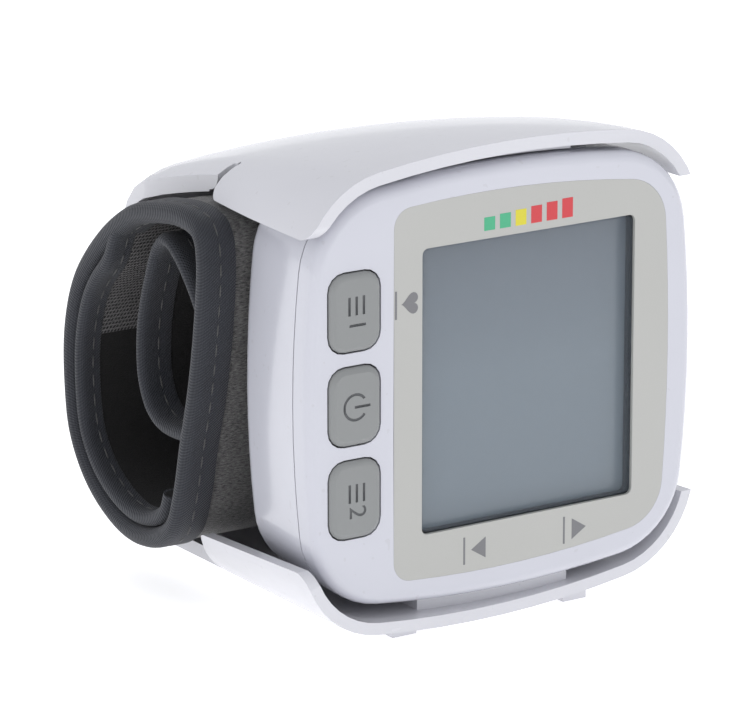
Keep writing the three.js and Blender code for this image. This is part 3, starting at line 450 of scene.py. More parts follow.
def modified(piece, kind, **settings):
    """Adds a modifier to the piece and applies it."""
    pick(piece)
    modifier = piece.modifiers.new(kind.lower(), kind)
    for word, value in settings.items():
        setattr(modifier, word, value)
    bpy.ops.object.modifier_apply(modifier=modifier.name)
    return piece


def softly_lit(piece):
    """Smooth shading over the soft edges, with the flat faces kept flat."""
    pick(piece)
    bpy.ops.object.shade_smooth_by_angle(angle=math.radians(SMOOTH_ANGLE))
    return modified(piece, "WEIGHTED_NORMAL", keep_sharp=True)


def rounded(piece, width_mm):
    """Rounds the sharp edges, and no further than the faces beside them reach."""
    modified(
        piece, "BEVEL", width=width_mm * MM, segments=2, limit_method="ANGLE",
        angle_limit=math.radians(SHARP_ANGLE), use_clamp_overlap=True, miter_outer="MITER_ARC",
    )
    return softly_lit(piece)


def finished(piece, body, slot, *materials):
    """Puts the materials on a piece, and tells the frame where it rides. The slot is not used."""
    piece.data.materials.clear()
    for material in materials:
        piece.data.materials.append(material)
    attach(piece, body)
    print(piece.name, "has", len(piece.data.polygons), "faces")
    return piece


def dressed(node, name, body, slot, material, width_mm, cutters=()):
    """A rounded copy that stands for a CAD node. The cutters are taken out of it first."""
    piece = copy_of(node, name)
    for cutter in cutters:
        modified(piece, "BOOLEAN", operation="DIFFERENCE", object=cutter, solver="EXACT")
        bpy.data.objects.remove(cutter)
    rounded(piece, width_mm)
    finished(piece, body, slot, material)
    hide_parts(node)
    return piece


print("copies can be made")

# %% [markdown]
# Cutters, signs and prints are flat drawings with some depth. Drawn as closed outlines on a flat curve,
# they can have any shape, and turning the curve into a mesh gives a clean solid to cut or to print with.
# An ellipse's points serve for corners, rings, beads and folds as well.

# %% Flat drawings
def arc(middle, radii, start, end, steps):
    """Points round an ellipse, in degrees."""
    angles = [math.radians(start + (end - start) * step / steps) for step in range(steps + 1)]
    return [(middle[0] + radii[0] * math.cos(a), middle[1] + radii[1] * math.sin(a)) for a in angles]


def drawn_curve(name, outlines, closed, fill="NONE", depth_mm=0.0):
    """A flat curve through outlines, which are lists of pairs in millimetres."""
    data = bpy.data.curves.new(name, "CURVE")
    data.dimensions = "2D"
    data.fill_mode = fill
    data.extrude = depth_mm * MM
    for outline in outlines:
        spline = data.splines.new("POLY")
        spline.points.add(len(outline) - 1)
        for point, (first, second) in zip(spline.points, outline):
            point.co = (first * MM, second * MM, 0, 1)
        spline.use_cyclic_u = closed
    return new_piece(name, data)


def made_mesh(drawing):
    """Turns a curve or a text into a mesh with its doubles merged and its faces outwards."""
    pick(drawing)
    bpy.ops.object.convert(target="MESH")
    bpy.ops.object.mode_set(mode="EDIT")
    bpy.ops.mesh.select_all(action="SELECT")
    bpy.ops.mesh.remove_doubles(threshold=0.001 * MM)
    bpy.ops.mesh.normals_make_consistent(inside=False)
    bpy.ops.object.mode_set(mode="OBJECT")
    return bpy.context.object


def flat_solid(name, outlines, depth_mm):
    """A solid from closed outlines, as deep to both sides of them as is said."""
    return made_mesh(drawn_curve(name, outlines, True, "BOTH", depth_mm))


def bar(left, right, bottom, top):
    """The outline of a bar."""
    return [(left, bottom), (right, bottom), (right, top), (left, top)]


FACING = Matrix.Rotation(math.radians(90), 4, "X")
SIDEWAYS = Matrix.Rotation(math.radians(90), 4, "Y") @ FACING
FROM_THE_SIDE = Matrix(((0, 0, 1, 0), (1, 0, 0, 0), (0, 1, 0, 0), (0, 0, 0, 1)))
print("flat drawings ready")

# %% [markdown]
# The shell's tabs wrap round the casing like fingers, and their corners are round so that they slide over
# it. A bar with one hollow side, longer than the shell is wide, takes the same corner off both tabs.

# %% Round corners on the shell's tabs
CUT_MARGIN, CUT_HALF_LENGTH = 0.8, 45


def corner_cutter(corner, radius, inwards, upwards):
    """A long bar that makes a corner round, seen from the side. The last two say where the tab lies."""
    deep, up = corner
    middle = (deep + inwards * radius, up + upwards * radius)
    start = 180 if inwards > 0 else 0
    end = start + 90 * inwards * upwards
    outside_deep, outside_up = deep - inwards * CUT_MARGIN, up - upwards * CUT_MARGIN
    outline = [
        *arc(middle, (radius, radius), start, end, 8),
        (middle[0], outside_up), (outside_deep, outside_up), (outside_deep, middle[1]),
    ]
    cutter = flat_solid("corner_cutter", [outline], CUT_HALF_LENGTH)
    cutter.data.transform(FROM_THE_SIDE)
    return cutter


TAB_CORNERS = (
    ((-34.76, 66.4), 3.4, 1, 1), ((-34.76, 15.0), 3.0, 1, -1),
    ((-0.55, 66.4), 4.2, -1, 1), ((-2.5, 13.4), 2.4, -1, -1), ((1.3, 66.0), 2.6, 1, 1),
)
cutters = [corner_cutter(*corner) for corner in TAB_CORNERS]
print("cutters for", len(cutters), "kinds of corner")

# %% [markdown]
# The storage shell and the casing are the same white, moulded in different tools: the shell a little
# duller, the casing polished. Both have rims rounded by a few tenths of a millimetre. The panel is a film
# that fills its seat in the casing, so it is spread until it meets the wall round it.

# %% Mouldings
dressed("storage_shell", "shell_moulding", "shell", "shell_white", shell_white, 0.32, cutters)
dressed("front_housing", "front_half", "monitor", "casing_white", casing_white, 0.16)
dressed("rear_housing", "rear_half", "monitor", "casing_white", casing_white, 0.16)
dressed("battery_cover", "battery_door_moulding", "battery_door", "casing_white", casing_white, 0.14)
film = dressed("face_panel", "panel_film", "monitor", "panel_grey", panel_grey, 0.03)
SEAT_GAP = 0.19
film_low, film_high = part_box("face_panel")
film_middle, film_size = (film_low + film_high) / 2, film_high - film_low
wider, taller = (1 + 2 * SEAT_GAP * MM / size for size in (film_size.x, film_size.z))
spread = Matrix.Diagonal((wider, 1, taller, 1))
film.data.transform(Matrix.Translation(film_middle) @ spread @ Matrix.Translation(-film_middle))
dressed("display_lens", "window_lens", "monitor", "clear_lens", lens_clear, 0.08)

# %% [markdown]
# The parts whose CAD shape is already right only get their finish.

# %% Finishes on the nodes that stay
STAYING = {
    "lcd_frame": dark_frame, "lcd_glass": lcd_glass_finish, "lcd_connector": rubber,
    "main_board": circuit_green, "air_pipe": rubber, "cuff_bladder": rubber, "pump_motor": steel,
    "battery_1": cell_metal, "battery_2": cell_metal,
    "battery_contact_top": contact_metal, "battery_contact_bottom": contact_metal,
    **{f"switch_{number}": black_plastic for number in (1, 2, 3)},
    "pump_head": black_plastic, "deflation_valve": black_plastic, "pressure_sensor": black_plastic,
    "cuff_nipple": black_plastic, "cuff_retainer": black_plastic,
    **{f"case_screw_{number}": steel for number in (1, 2, 3, 4)},
}
for node, material in STAYING.items():
    for holder in nodes[node].material_slots:
        holder.material = material
print("finishes on", len(STAYING), "nodes")

# %% [markdown]
# Each key is a satin grey block with a soft bevel and signs cut a little into its face. They lie on their
# side, because the monitor is read on a raised wrist. The power sign is a broken ring with a stroke. The
# two memory keys carry a small list sign and a plain number. A cut catches light on its own edges, so
# each sign is first made as a solid.

# %% Signs for the keys
MARK_DEPTH = 0.14


def numeral(character, size_mm):
    """A number as a solid, with its middle at the origin."""
    bpy.ops.object.text_add()
    word = bpy.context.object
    word.data.body = character
    word.data.size = size_mm * MM
    word.data.extrude = MARK_DEPTH * MM
    word.data.align_x, word.data.align_y = "CENTER", "CENTER"
    return made_mesh(word)


def joined_signs(*signs):
    """One solid from several."""
    pick(signs[0])
    for sign in signs[1:]:
        sign.select_set(True)
    bpy.ops.object.join()
    return bpy.context.object


def memory_sign(character):
    """Three short lines, as a list has, and a number beside them."""
    lines = [bar(-2.55, 0.35, level - 0.22, level + 0.22) for level in (-1.28, 0.0, 1.28)]
    rows = flat_solid("rows", lines, MARK_DEPTH)
    number = numeral(character, 4.3)
    number.data.transform(Matrix.Translation((1.9 * MM, 0, 0)))
    return joined_signs(rows, number)


def power_sign():
    """A ring with a gap at its top, and a stroke through the gap."""
    ring = [*arc((0, -0.2), (2.2, 2.2), 127, 413, 36), *arc((0, -0.2), (1.78, 1.78), 413, 127, 36)]
    stroke = bar(-0.21, 0.21, -0.35, 2.45)
    return joined_signs(flat_solid("ring", [ring], MARK_DEPTH), flat_solid("stroke", [stroke], MARK_DEPTH))


print("signs are cut", MARK_DEPTH, "mm deep")

# %% [markdown]
# The key is a rounded copy of its CAD node, and a Boolean takes the sign out of it. The sign's darker
# material goes over to the floor and walls of the cut. The new edges are then shaded like the old ones.

# %% Keys
def keyed(node, name, body, sign):
    """A key with its sign cut into it."""
    key = rounded(copy_of(node, name), 0.16)
    low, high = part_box(node)
    middle = Matrix.Translation(((low.x + high.x) / 2, low.y, (low.z + high.z) / 2))
    sign.data.transform(middle @ SIDEWAYS)
    sign.data.materials.clear()
    sign.data.materials.append(mark_grey)
    key.data.materials.clear()
    key.data.materials.append(button_grey)
    modified(key, "BOOLEAN", operation="DIFFERENCE", object=sign, solver="EXACT", material_mode="TRANSFER")
    bpy.data.objects.remove(sign)
    softly_lit(key)
    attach(key, body)
    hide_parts(node)
    print(name, "has", len(key.data.polygons), "faces")


keyed("memory_button_1", "key_one", "memory_button_1", memory_sign("1"))
keyed("memory_button_2", "key_two", "memory_button_2", memory_sign("2"))
keyed("power_button", "key_power", "power_button", power_sign())

# %% [markdown]
# The panel is printed by silk screen: six bars that step up from green to red show how high a reading
# is, and small grey signs name the three rows of the display. Printed ink is a film a hundredth of a
# millimetre thick, so each is a very thin solid with an ink of its own.

# %% Printed inks
INK_THICKNESS, INK_SINK = 0.012, 0.008


def ink(name, colour):
    finish = Finish(name, IOR=1.45)
    grain = finish.noise(3000.0, 2.0)
    finish.feed(Base_Color=finish.between(grain, [value * 0.93 for value in colour], colour))
    finish.feed(Roughness=grain * 0.15 + 0.35)
    return finish.relief(grain, 0.004).material


def printed(name, outlines, colour, across=0.0, up=0.0, turn=FACING):
    """A thin print on the panel, drawn round a place on it."""
    print_film = flat_solid(name, outlines, INK_THICKNESS)
    print_film.data.transform(Matrix.Translation(place(across, -INK_SINK, up)) @ turn)
    return finished(print_film, "monitor", "panel_grey", ink(name + "_ink", colour))


print("inks ready")

# %% [markdown]
# The bars stand on one line, equally wide, and each is a little taller than the one before it.

# %% The bars of the reading scale
SCALE_LEFT, SCALE_BASE = -3.96, 23.85
SCALE_PITCH, SCALE_WIDTH = 2.88, 2.0
SCALE_HEIGHT, SCALE_STEP = 2.1, 0.2
SCALE = {
    "green": ((0, 1), (0.075, 0.44, 0.235)),
    "yellow": ((2,), (0.70, 0.63, 0.045)),
    "red": ((3, 4, 5), (0.62, 0.055, 0.065)),
}
for colour_name, (steps, colour) in SCALE.items():
    bars = []
    for step in steps:
        left, height = SCALE_LEFT + SCALE_PITCH * step, SCALE_HEIGHT + SCALE_STEP * step
        bars.append(bar(left, left + SCALE_WIDTH, SCALE_BASE, SCALE_BASE + height))
    printed("scale_" + colour_name, bars, colour)
print("bars printed in", len(SCALE), "colours")

# %% [markdown]
# A heart stands for the pulse, and two arrows for the high and the low reading. Each has a line under it.
# They lie on their side, as the signs on the keys do.

# %% The signs of the three rows
PRINT_GREY = (0.20, 0.20, 0.21)
HEART_SIZE, HEART_POINTS = 0.105, 36
heart = []
for step in range(HEART_POINTS):
    turn = 2 * math.pi * step / HEART_POINTS
    height = 13 * math.cos(turn) - 5 * math.cos(2 * turn) - 2 * math.cos(3 * turn) - math.cos(4 * turn)
    heart.append((HEART_SIZE * 16 * math.sin(turn) ** 3, HEART_SIZE * height))
rising = [(-1.7, -1.25), (1.7, -1.25), (0.0, 1.45)]
falling = [(-1.7, 1.25), (0.0, -1.45), (1.7, 1.25)]
under_line = bar(-2.2, 2.2, -2.9, -2.55)
printed("sign_pulse", [heart, under_line], PRINT_GREY, -17.2, 14.5, SIDEWAYS)
printed("sign_high", [rising, under_line], PRINT_GREY, 14.1, -26.4, SIDEWAYS)
printed("sign_low", [falling, under_line], PRINT_GREY, -4.6, -26.5, SIDEWAYS)
print("three signs printed")

# %% [markdown]
# A band's cloths follow one line. It is read from the frame: the outline of a node's near edge, walked
# from corner to corner. From it come the way along each piece, the map for its weave and the stitches.

# %% The line of the band
SAME_LEVEL = 0.01


def flat_outlines(node, axis, level, facing):
    """The closed outlines of a node's flat faces at a level of an axis, the longest first."""
    shape = bmesh.new()
    shape.from_mesh(nodes[node].data)
    bmesh.ops.remove_doubles(shape, verts=shape.verts, dist=0.001 * MM)
    shape.normal_update()
    rim = []
    for edge in shape.edges:
        flat = all(abs(corner.co[axis] - level) < SAME_LEVEL * MM for corner in edge.verts)
        if flat and sum(face.normal[axis] * facing > 0.9 for face in edge.link_faces) == 1:
            rim.append(edge)
    outlines = []
    while rim:
        edge = rim.pop(0)
        first, here = edge.verts
        outline = [first.co.copy()]
        while here != first:
            outline.append(here.co.copy())
            edge = next(other for other in here.link_edges if other in rim)
            rim.remove(edge)
            here = edge.other_vert(here)
        outlines.append(outline)
    shape.free()
    return sorted(outlines, key=lambda line: -way_along(line, True)[-1])


def near_outlines(node):
    """The closed outlines of a node's near edge."""
    return flat_outlines(node, 0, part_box(node)[0].x, -1)


def way_along(line, closed):
    """How far along the line each of its points lies."""
    ends = line[1:] + line[:1] if closed else line[1:]
    return np.concatenate(([0.0], np.cumsum([(b - a).length for a, b in zip(line, ends)])))


def strip_line(node):
    """The middle line of an open strip from its high end, and the strip's thickness in millimetres."""
    outline = near_outlines(node)[0]
    count = len(outline)
    sharp = []
    for index in range(count):
        before = outline[index] - outline[index - 1]
        after = outline[(index + 1) % count] - outline[index]
        if before.angle(after) > math.radians(60):
            sharp.append(index)
    start = next(index for index in sharp if (index - 1) % count in sharp)
    turned = outline[start:] + outline[:start]
    one, other = turned[:count // 2], turned[count // 2:][::-1]
    line = [(a + b) / 2 for a, b in zip(one, other)]
    return (line if line[0].z > line[-1].z else line[::-1]), (one[0] - other[0]).length / MM


def smoothed(line, closed, times=3):
    """More points on the line, on soft curves through those that it has."""
    count = len(line)
    points = []
    for index in range(count if closed else count - 1):
        near = [index + step for step in (-1, 0, 1, 2)]
        if not closed:
            near = [min(max(corner, 0), count - 1) for corner in near]
        before, here, after, beyond = (line[corner % count] for corner in near)
        for part in range(times):
            t = part / times
            bend = (2 * before - 5 * here + 4 * after - beyond) * t ** 2
            twist = (3 * here - before - 3 * after + beyond) * t ** 3
            points.append((2 * here + (after - before) * t + bend + twist) / 2)
    return points if closed else points + [line[-1]]


def bend_on_left(line):
    """The line, turned round if that puts the inside of its bend on its left."""
    turning = sum(a.y * b.z - b.y * a.z for a, b in zip(line, line[1:] + line[:1]))
    return line if turning > 0 else line[::-1]


def ring_thickness(node):
    """How thick a ring of the band is, in millimetres, from its two outlines."""
    outer, inner = near_outlines(node)[:2]
    return min((corner - outer[0]).length for corner in inner) / MM


def carried_on(line, guide, reach_mm, last_mm):
    """The line with its first end led on beside a closed guide, and eased to its last distance from it."""
    ordered = bend_on_left(guide)
    count = len(ordered)
    nearest = min(range(count), key=lambda corner: (ordered[corner] - line[0]).length)
    tangent = ordered[(nearest + 1) % count] - ordered[nearest - 1]
    step = 1 if tangent.dot(line[0] - line[1]) > 0 else -1
    inwards = (line[0].yz - ordered[nearest].yz).length
    added = []
    for index in range(1, count):
        here = ordered[(nearest + step * index) % count]
        along = (ordered[(nearest + step * index + 1) % count] - here).normalized()
        share = min((here - ordered[nearest]).length / (reach_mm * MM), 1)
        ease = share ** 2 * (3 - 2 * share)
        deep = inwards + (last_mm * MM - inwards) * ease
        added.append(Vector((line[0].x, here.y - along.z * deep, here.z + along.y * deep)))
        if share == 1:
            break
    return added[:0:-1] + line


print("lines can be read")

# %% [markdown]
# The band has three lines: round the roll, along its second turn and along its free end. The roll's line
# starts at its rear, where the shell hides the place where the weave meets itself. The second turn is led
# on a little, and into the roll, because its end is tucked away under the roll's top.

# %% Three lines of the band
WRAP_LEAD = 10.0
roll_outline = bend_on_left(near_outlines("cuff_binding_near")[0])
rear = max(range(len(roll_outline)), key=lambda corner: roll_outline[corner].y)
roll_line = smoothed(roll_outline[rear:] + roll_outline[:rear], True)
wrap_line, wrap_thickness = strip_line("cuff_inner_wrap")
tail_line, tail_thickness = strip_line("cuff_tail")
bound = ring_thickness("cuff_binding_near")
wrap_line = carried_on(smoothed(wrap_line, False), roll_line, WRAP_LEAD, bound / 2)
tail_line = smoothed(tail_line, False)
roll_length = way_along(roll_line, True)[-1] / MM
print("the roll is", round(roll_length, 1), "mm round and", round(bound, 2), "mm thick")
for line, thickness in ((wrap_line, wrap_thickness), (tail_line, tail_thickness)):
    print("a strip of", round(way_along(line, False)[-1] / MM, 1), "mm,", round(thickness, 2), "mm thick")

# %% [markdown]
# The two halves of the casing meet with a fine gap, which shows as a dark line all round. The lip behind
# it would light the gap up, so a dark thin ring is put in it as painted shade, a little below the surface.
# Its shape is the front half's own outline at the seam, drawn smaller.

# %% The seam of the casing
SEAM_DEEP, SEAM_HALF, SEAM_BEHIND = 4.2, 0.15, 0.1
SEAM_SHARES = (0.9972, 0.975)
seam_outline = flat_outlines("front_housing", 1, place(0, SEAM_DEEP, 0).y, 1)[0]
seam_corners = [(corner - face_middle) / MM for corner in seam_outline]
ring_outlines = [[(corner.x * share, corner.z * share) for corner in seam_corners] for share in SEAM_SHARES]
# Painted shade: a dark ring where the gap between the halves is only in shadow.
painted_seam_shadow = flat_solid("painted_seam_shadow", ring_outlines, SEAM_HALF)
painted_seam_shadow.data.transform(Matrix.Translation(place(0, SEAM_DEEP + SEAM_BEHIND, 0)) @ FACING)
finished(painted_seam_shadow, "monitor", "casing_white", mark_grey)

# %% [markdown]
# A weave has to bend with the band, so each piece gets a flat map: millimetres along the line, and
# millimetres across from the piece's near edge. Each corner takes them from the nearest bit of the line.

# %% A map along the band
def lay_map(piece, line, closed):
    """Lays the flat map on a piece. On a closed line the map runs on past its end, where it meets itself."""
    points = np.array([[p.y, p.z] for p in (line + line[:1] if closed else line)])
    starts, steps = points[:-1], np.diff(points, axis=0)
    lengths = np.linalg.norm(steps, axis=1)
    ways = way_along(line, closed)[:-1]
    corners = np.array([vertex.co for vertex in piece.data.vertices])
    offset = corners[:, None, 1:] - starts[None]
    share = np.clip((offset * steps).sum(-1) / lengths ** 2, 0, 1)
    gap = np.linalg.norm(offset - share[..., None] * steps, axis=-1)
    nearest = gap.argmin(1)
    rows = np.arange(len(corners))
    along = (ways[nearest] + share[rows, nearest] * lengths[nearest]) / MM
    across = (corners[:, 0] - corners[:, 0].min()) / MM
    whole = lengths.sum() / MM
    layers = piece.data.uv_layers
    layer = layers[0] if layers else layers.new(name="band")
    for face in piece.data.polygons:
        values = [along[piece.data.loops[loop].vertex_index] for loop in face.loop_indices]
        wraps = closed and max(values) - min(values) > whole / 2
        for loop, value in zip(face.loop_indices, values):
            lifted = value + whole if wraps and value < whole / 2 else value
            layer.data[loop].uv = (lifted, across[piece.data.loops[loop].vertex_index])
    return piece


print("maps can be laid")

# %% [markdown]
# Cloth that has been handled is never quite flat. A smooth noise pushes each point of the band in or out a
# little. What is sewn together has to move together, so cloth, tape and stitches all ask the same noise.
# Its seed is set, since the cloth would otherwise differ from run to run.

# %% Uneven cloth
SWELL, TAIL_SWELL, SWELL_REACH = 0.14, 0.3, 9.0
SWELL_SEED = 7
noise.seed_set(SWELL_SEED)


def swell_at(point, amount_mm):
    """How far cloth at a point is pushed off its line."""
    push = noise.noise_vector(point / (SWELL_REACH * MM))
    return Vector((0, push.y, push.z)) * amount_mm * MM


print("cloth swells up to", SWELL, "mm")

# %% [markdown]
# The binding is a tape folded over the raw edge. A profile of the folded tape, drawn once as a small
# closed curve, is swept along the line of the band, which gives clean rows of faces that bend with it.
# The fold is round and the two leaves end in soft edges. The weave follows the tape.

# %% Sweeping a section along the band
def swept(name, line, closed, section, near, swell_mm=SWELL):
    """Sweeps a closed section (millimetres inwards, millimetres across) along a line of the band."""
    ordered = bend_on_left(line)
    path = drawn_curve(name, [[(point.y / MM, point.z / MM) for point in ordered]], closed)
    drawn = drawn_curve(name + "_section", [section], True)
    path.data.bevel_mode = "OBJECT"
    path.data.bevel_object = drawn
    path.data.use_fill_caps = not closed
    piece = made_mesh(path)
    bpy.data.objects.remove(drawn)
    piece.data.transform(Matrix.Translation((near, 0, 0)) @ FROM_THE_SIDE)
    bpy.ops.object.shade_smooth_by_angle(angle=math.radians(50))
    lay_map(piece, line, closed)
    for vertex in piece.data.vertices:
        vertex.co += swell_at(vertex.co, swell_mm)
    return piece


print("sweeping ready")

# %% [markdown]
# The binding goes on both edges of the band and of its free end. Its fold is a round bead that reaches
# past the cloth, and its leaves lie on the two faces of the band. The seam draws each leaf in, so that a
# shallow dip runs along it, where the stitches lie.

# %% Binding tapes
TAPE_THICKNESS = 0.4
SEAM_DIP, DIP_HALF = 0.13, 0.6
ROLL_TAPE = {"width": 5.7, "reach": 1.7, "seam": 3.1}


def folded_tape(first, whole, width, reach, seam, hand):
    """The section of a folded tape that starts at first, as millimetres inwards and across."""
    middle, half = whole / 2, TAPE_THICKNESS / 2
    dip = [(0.0, seam + DIP_HALF), (SEAM_DIP, seam), (0.0, seam - DIP_HALF)]
    far_dip = [(whole - depth, across) for depth, across in reversed(dip)]
    fold = arc((middle, reach), (middle, reach), 180, 360, 12)
    hollow = (middle - TAPE_THICKNESS, reach - TAPE_THICKNESS)
    inner = [*arc((middle, reach), hollow, 360, 180, 10), (TAPE_THICKNESS, width)]
    near_end = arc((half, width), (half, half), 0, 180, 4)[1:-1]
    far_end = arc((whole - half, width), (half, half), 0, 180, 4)[1:]
    outer = [(0, width), *dip, *fold, *far_dip, (whole, width)]
    return [(first + inwards, hand * across) for inwards, across in (*outer, *far_end, *inner, *near_end)]


def bound_edge(name, line, closed, near, first, whole, hand, tape):
    """A tape round an edge of the band. The hand is -1 where the fold opens the other way."""
    piece = swept(name, line, closed, folded_tape(first, whole, hand=hand, **tape), near)
    return finished(piece, "monitor", "binding_tape", binding_tape)


near_edge, far_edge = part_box("cuff_binding_near")[0].x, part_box("cuff_binding_far")[1].x
near_tape = bound_edge("near_tape", roll_line, True, near_edge, 0, bound, 1, ROLL_TAPE)
far_tape = bound_edge("far_tape", roll_line, True, far_edge, 0, bound, -1, ROLL_TAPE)
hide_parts("cuff_binding_near")
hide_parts("cuff_binding_far")

# %% [markdown]
# The cloths of the band are swept in the same way, from a flat section with soft edges. Points every three
# millimetres across let them swell and dip a little. The roll has a cloth on each face, with room between
# them for the bladder. The second turn and the tail are one thick strip each.

# %% Cloths of the band
CLOTH_ROWS = 24
LEAF, CLOTH = TAPE_THICKNESS + 0.1, 0.7


def cloth_section(first, thickness, width):
    """A flat section with round edges, as millimetres inwards and across."""
    half = thickness / 2
    rows = [half + (width - thickness) * step / CLOTH_ROWS for step in range(1, CLOTH_ROWS)]
    near_bend = arc((half, half), (half, half), 0, -180, 6)
    far_bend = arc((half, width - half), (half, half), 180, 0, 6)
    outer = [(0, row) for row in rows]
    inner = [(thickness, row) for row in reversed(rows)]
    return [(first + inwards, across) for inwards, across in (*near_bend, *outer, *far_bend, *inner)]


def band_cloth(node, name, slot, material, line, closed, first, thickness, swell_mm=SWELL):
    """A cloth of the band that stands for a CAD node and is as wide as it."""
    low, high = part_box(node)
    section = cloth_section(first, thickness, (high.x - low.x) / MM)
    piece = swept(name, line, closed, section, low.x, swell_mm)
    finished(piece, "monitor", slot, material)
    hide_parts(node)
    return piece


outer_cloth = band_cloth(
    "cuff_outer_fabric", "outer_cloth", "cuff_cloth", cuff_cloth, roll_line, True, LEAF, CLOTH,
)
lining = band_cloth(
    "cuff_lining", "pile_lining", "loop_pile", pile, roll_line, True, bound - LEAF - CLOTH, CLOTH,
)
inner_wrap = band_cloth(
    "cuff_inner_wrap", "inner_wrap_cloth", "cuff_cloth", net_pile, wrap_line, False,
    -wrap_thickness / 2, wrap_thickness,
)
tail = band_cloth(
    "cuff_tail", "tail_cloth", "cuff_cloth", pile, tail_line, False,
    -tail_thickness / 2, tail_thickness, TAIL_SWELL,
)

# %% [markdown]
# The second turn and the tail are parts of the same band, so each has its own taped edges. They stand a
# little proud of the cloth, with a fatter bead.

# %% Tapes of the second turn and the tail
PROUD = 0.15
WRAP_TAPE = {"width": 3.6, "reach": 1.3, "seam": 2.5}
TAIL_TAPE = {"width": 5.4, "reach": 1.3, "seam": 3.3}


def strip_edges(name, node, line, thickness, tape):
    """The tapes on both edges of an open strip."""
    low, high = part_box(node)
    whole = thickness + 2 * PROUD
    return [
        bound_edge(f"{name}_tape_{side}", line, False, edge, -whole / 2, whole, hand, tape)
        for side, edge, hand in (("near", low.x - PROUD * MM, 1), ("far", high.x + PROUD * MM, -1))
    ]


wrap_tapes = strip_edges("wrap", "cuff_inner_wrap", wrap_line, wrap_thickness, WRAP_TAPE)
tail_tapes = strip_edges("tail", "cuff_tail", tail_line, tail_thickness, TAIL_TAPE)

# %% [markdown]
# Each tape is held by a row of lockstitches, about three to a centimetre. One stitch is a small flattened
# bead, shaped once and copied along the line of the tape, each copy turned to follow it.

# %% Stitches
STITCH_PITCH, STITCH_SINK = 3.2, 0.06
STITCH_LENGTH, STITCH_WIDTH, STITCH_THICKNESS = 2.3, 0.25, 0.20
bpy.ops.mesh.primitive_uv_sphere_add(segments=8, ring_count=6, radius=0.5)
one_stitch = bpy.context.object
one_stitch.data.transform(
    Matrix.Diagonal((STITCH_LENGTH * MM, STITCH_WIDTH * MM, STITCH_THICKNESS * MM, 1))
)


def stitched(name, line, closed, near, inwards, across, carrier):
    """A row of stitches along the line, so many millimetres inwards and across from the edge."""
    ordered = bend_on_left(line)
    ways = way_along(ordered, closed) / MM
    count = int(ways[-1] / STITCH_PITCH)
    row = bmesh.new()
    for stitch in range(count):
        way = (stitch + 0.5) * ways[-1] / count
        index = int(np.searchsorted(ways, way)) - 1
        start, end = ordered[index], ordered[(index + 1) % len(ordered)]
        along = (end - start).normalized()
        side = Vector((0, -along.z, along.y))
        at = start + along * (way - ways[index]) * MM + side * inwards * MM
        at += swell_at(Vector((near, at.y, at.z)), SWELL)
        at.x = near + across * MM
        bead = one_stitch.data.copy()
        bead.transform(Matrix.Translation(at) @ Matrix((along, (1, 0, 0), side)).transposed().to_4x4())
        row.from_mesh(bead)
        bpy.data.meshes.remove(bead)
    bmesh.ops.recalc_face_normals(row, faces=row.faces)
    mesh = bpy.data.meshes.new(name)
    row.to_mesh(mesh)
    row.free()
    piece = new_piece(name, mesh)
    bpy.ops.object.shade_smooth()
    finished(piece, "monitor", "binding_tape", stitch_thread)
    piece.parent = carrier
    print(name, "has", count, "stitches")
    return piece


roll_rows = [
    stitched(f"{side}_stitches_{leaf}", roll_line, True, edge, inwards, hand * ROLL_TAPE["seam"], tape)
    for side, edge, hand, tape in (("near", near_edge, 1, near_tape), ("far", far_edge, -1, far_tape))
    for leaf, inwards in (("out", STITCH_SINK), ("in", bound - STITCH_SINK))
]
wrap_near, wrap_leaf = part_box("cuff_inner_wrap")[0].x, wrap_thickness / 2 + PROUD - STITCH_SINK
tail_near, tail_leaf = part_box("cuff_tail")[0].x, tail_thickness / 2 + PROUD - STITCH_SINK
wrap_seam, tail_seam = WRAP_TAPE["seam"] - PROUD, TAIL_TAPE["seam"] - PROUD
stitched("wrap_stitches", wrap_line, False, wrap_near, wrap_leaf, wrap_seam, wrap_tapes[0])
stitched("tail_stitches_in", tail_line, False, tail_near, tail_leaf, tail_seam, tail_tapes[0])
stitched("tail_stitches_out", tail_line, False, tail_near, -tail_leaf, tail_seam, tail_tapes[0])
bpy.data.objects.remove(one_stitch)

# %% [markdown]
# The two cloths of the roll are cut as long as the roll is round, and the size of each cut is printed. The
# second turn and the tail are padded strips, and the tapes of each go with it. The stitches go with the tape
# that they hold.

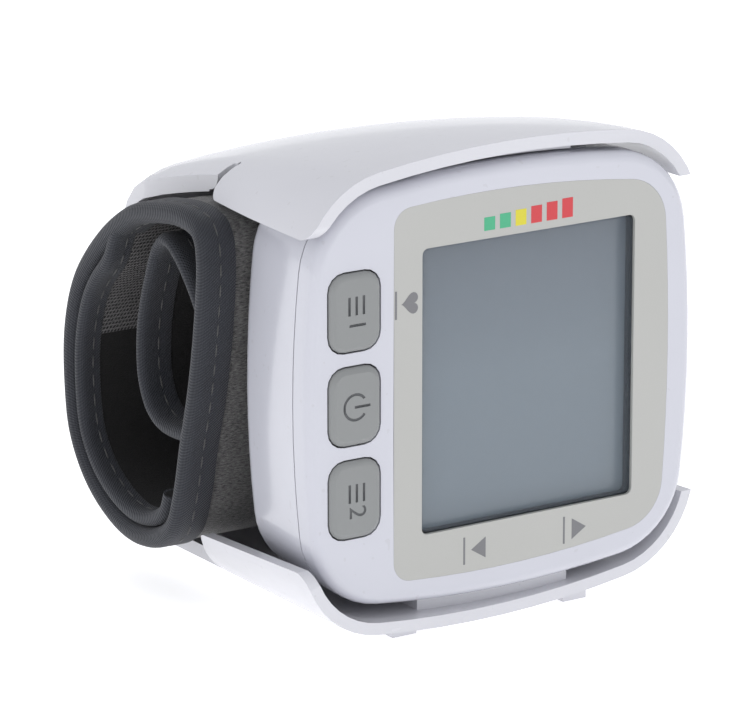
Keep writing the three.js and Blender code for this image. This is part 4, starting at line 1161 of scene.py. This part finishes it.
# %% Cuts of the roll, and tapes on their strips
for cloth, inwards, sewn_on in (
    (outer_cloth, LEAF, [near_tape, far_tape, *roll_rows]), (lining, bound - LEAF, []),
):
    ends = [corner[0] for corner in cloth.bound_box]
    cut = (max(ends) - min(ends), (roll_length - 2 * math.pi * inwards) * MM)
    print(cloth.name, "was cut", [round(side / MM, 1) for side in cut], "mm")
for pad, tapes in ((inner_wrap, wrap_tapes), (tail, tail_tapes)):
    for tape in tapes:
        tape.parent = pad

# %% [markdown]
# The photograph was taken in a white tent: light comes from all sides, the table glows white and there is
# almost no shadow. A bright sky with three weak soft lamps does that, over a paper floor that gives some
# light of its own, as a light table does. The Standard view keeps the whites white.

# %% Floor and light
bpy.ops.mesh.primitive_plane_add(size=6, location=(0, 0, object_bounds()[0][2]))
floor = bpy.context.object
floor.name = "floor"
paper = Finish("floor_paper", Roughness=0.9, Emission_Color=(1, 1, 1, 1), Emission_Strength=0.5)
paper.feed(Base_Color=paper.between(paper.noise(3.0), (0.975, 0.975, 0.98), (0.99, 0.99, 0.99)))
floor.data.materials.append(paper.material)


def soft_light(name, at, size, watts):
    """A soft box that faces the monitor. Its place is in millimetres and its size in metres."""
    location = place(*at)
    turn = (face_middle - location).to_track_quat("-Z", "Y").to_euler()
    bpy.ops.object.light_add(type="AREA", location=location, rotation=turn)
    light = bpy.context.object
    light.name = name
    light.data.shape = "RECTANGLE"
    light.data.size, light.data.size_y = size
    light.data.energy = watts


soft_light("top_box", (-150, -250, 900), (1.2, 1.0), 0.9)
soft_light("left_box", (-900, -500, 350), (0.9, 1.0), 0.6)
soft_light("right_box", (800, -900, 300), (0.8, 0.9), 0.8)
world = bpy.data.worlds.new("studio")
world.use_nodes = True
sky = world.node_tree.nodes["Background"]
sky.inputs["Color"].default_value = (0.95, 0.96, 1.0, 1)
sky.inputs["Strength"].default_value = 0.8
bpy.context.scene.world = world
bpy.context.scene.view_settings.view_transform = "Standard"
print("three soft boxes and a bright sky over a paper floor")
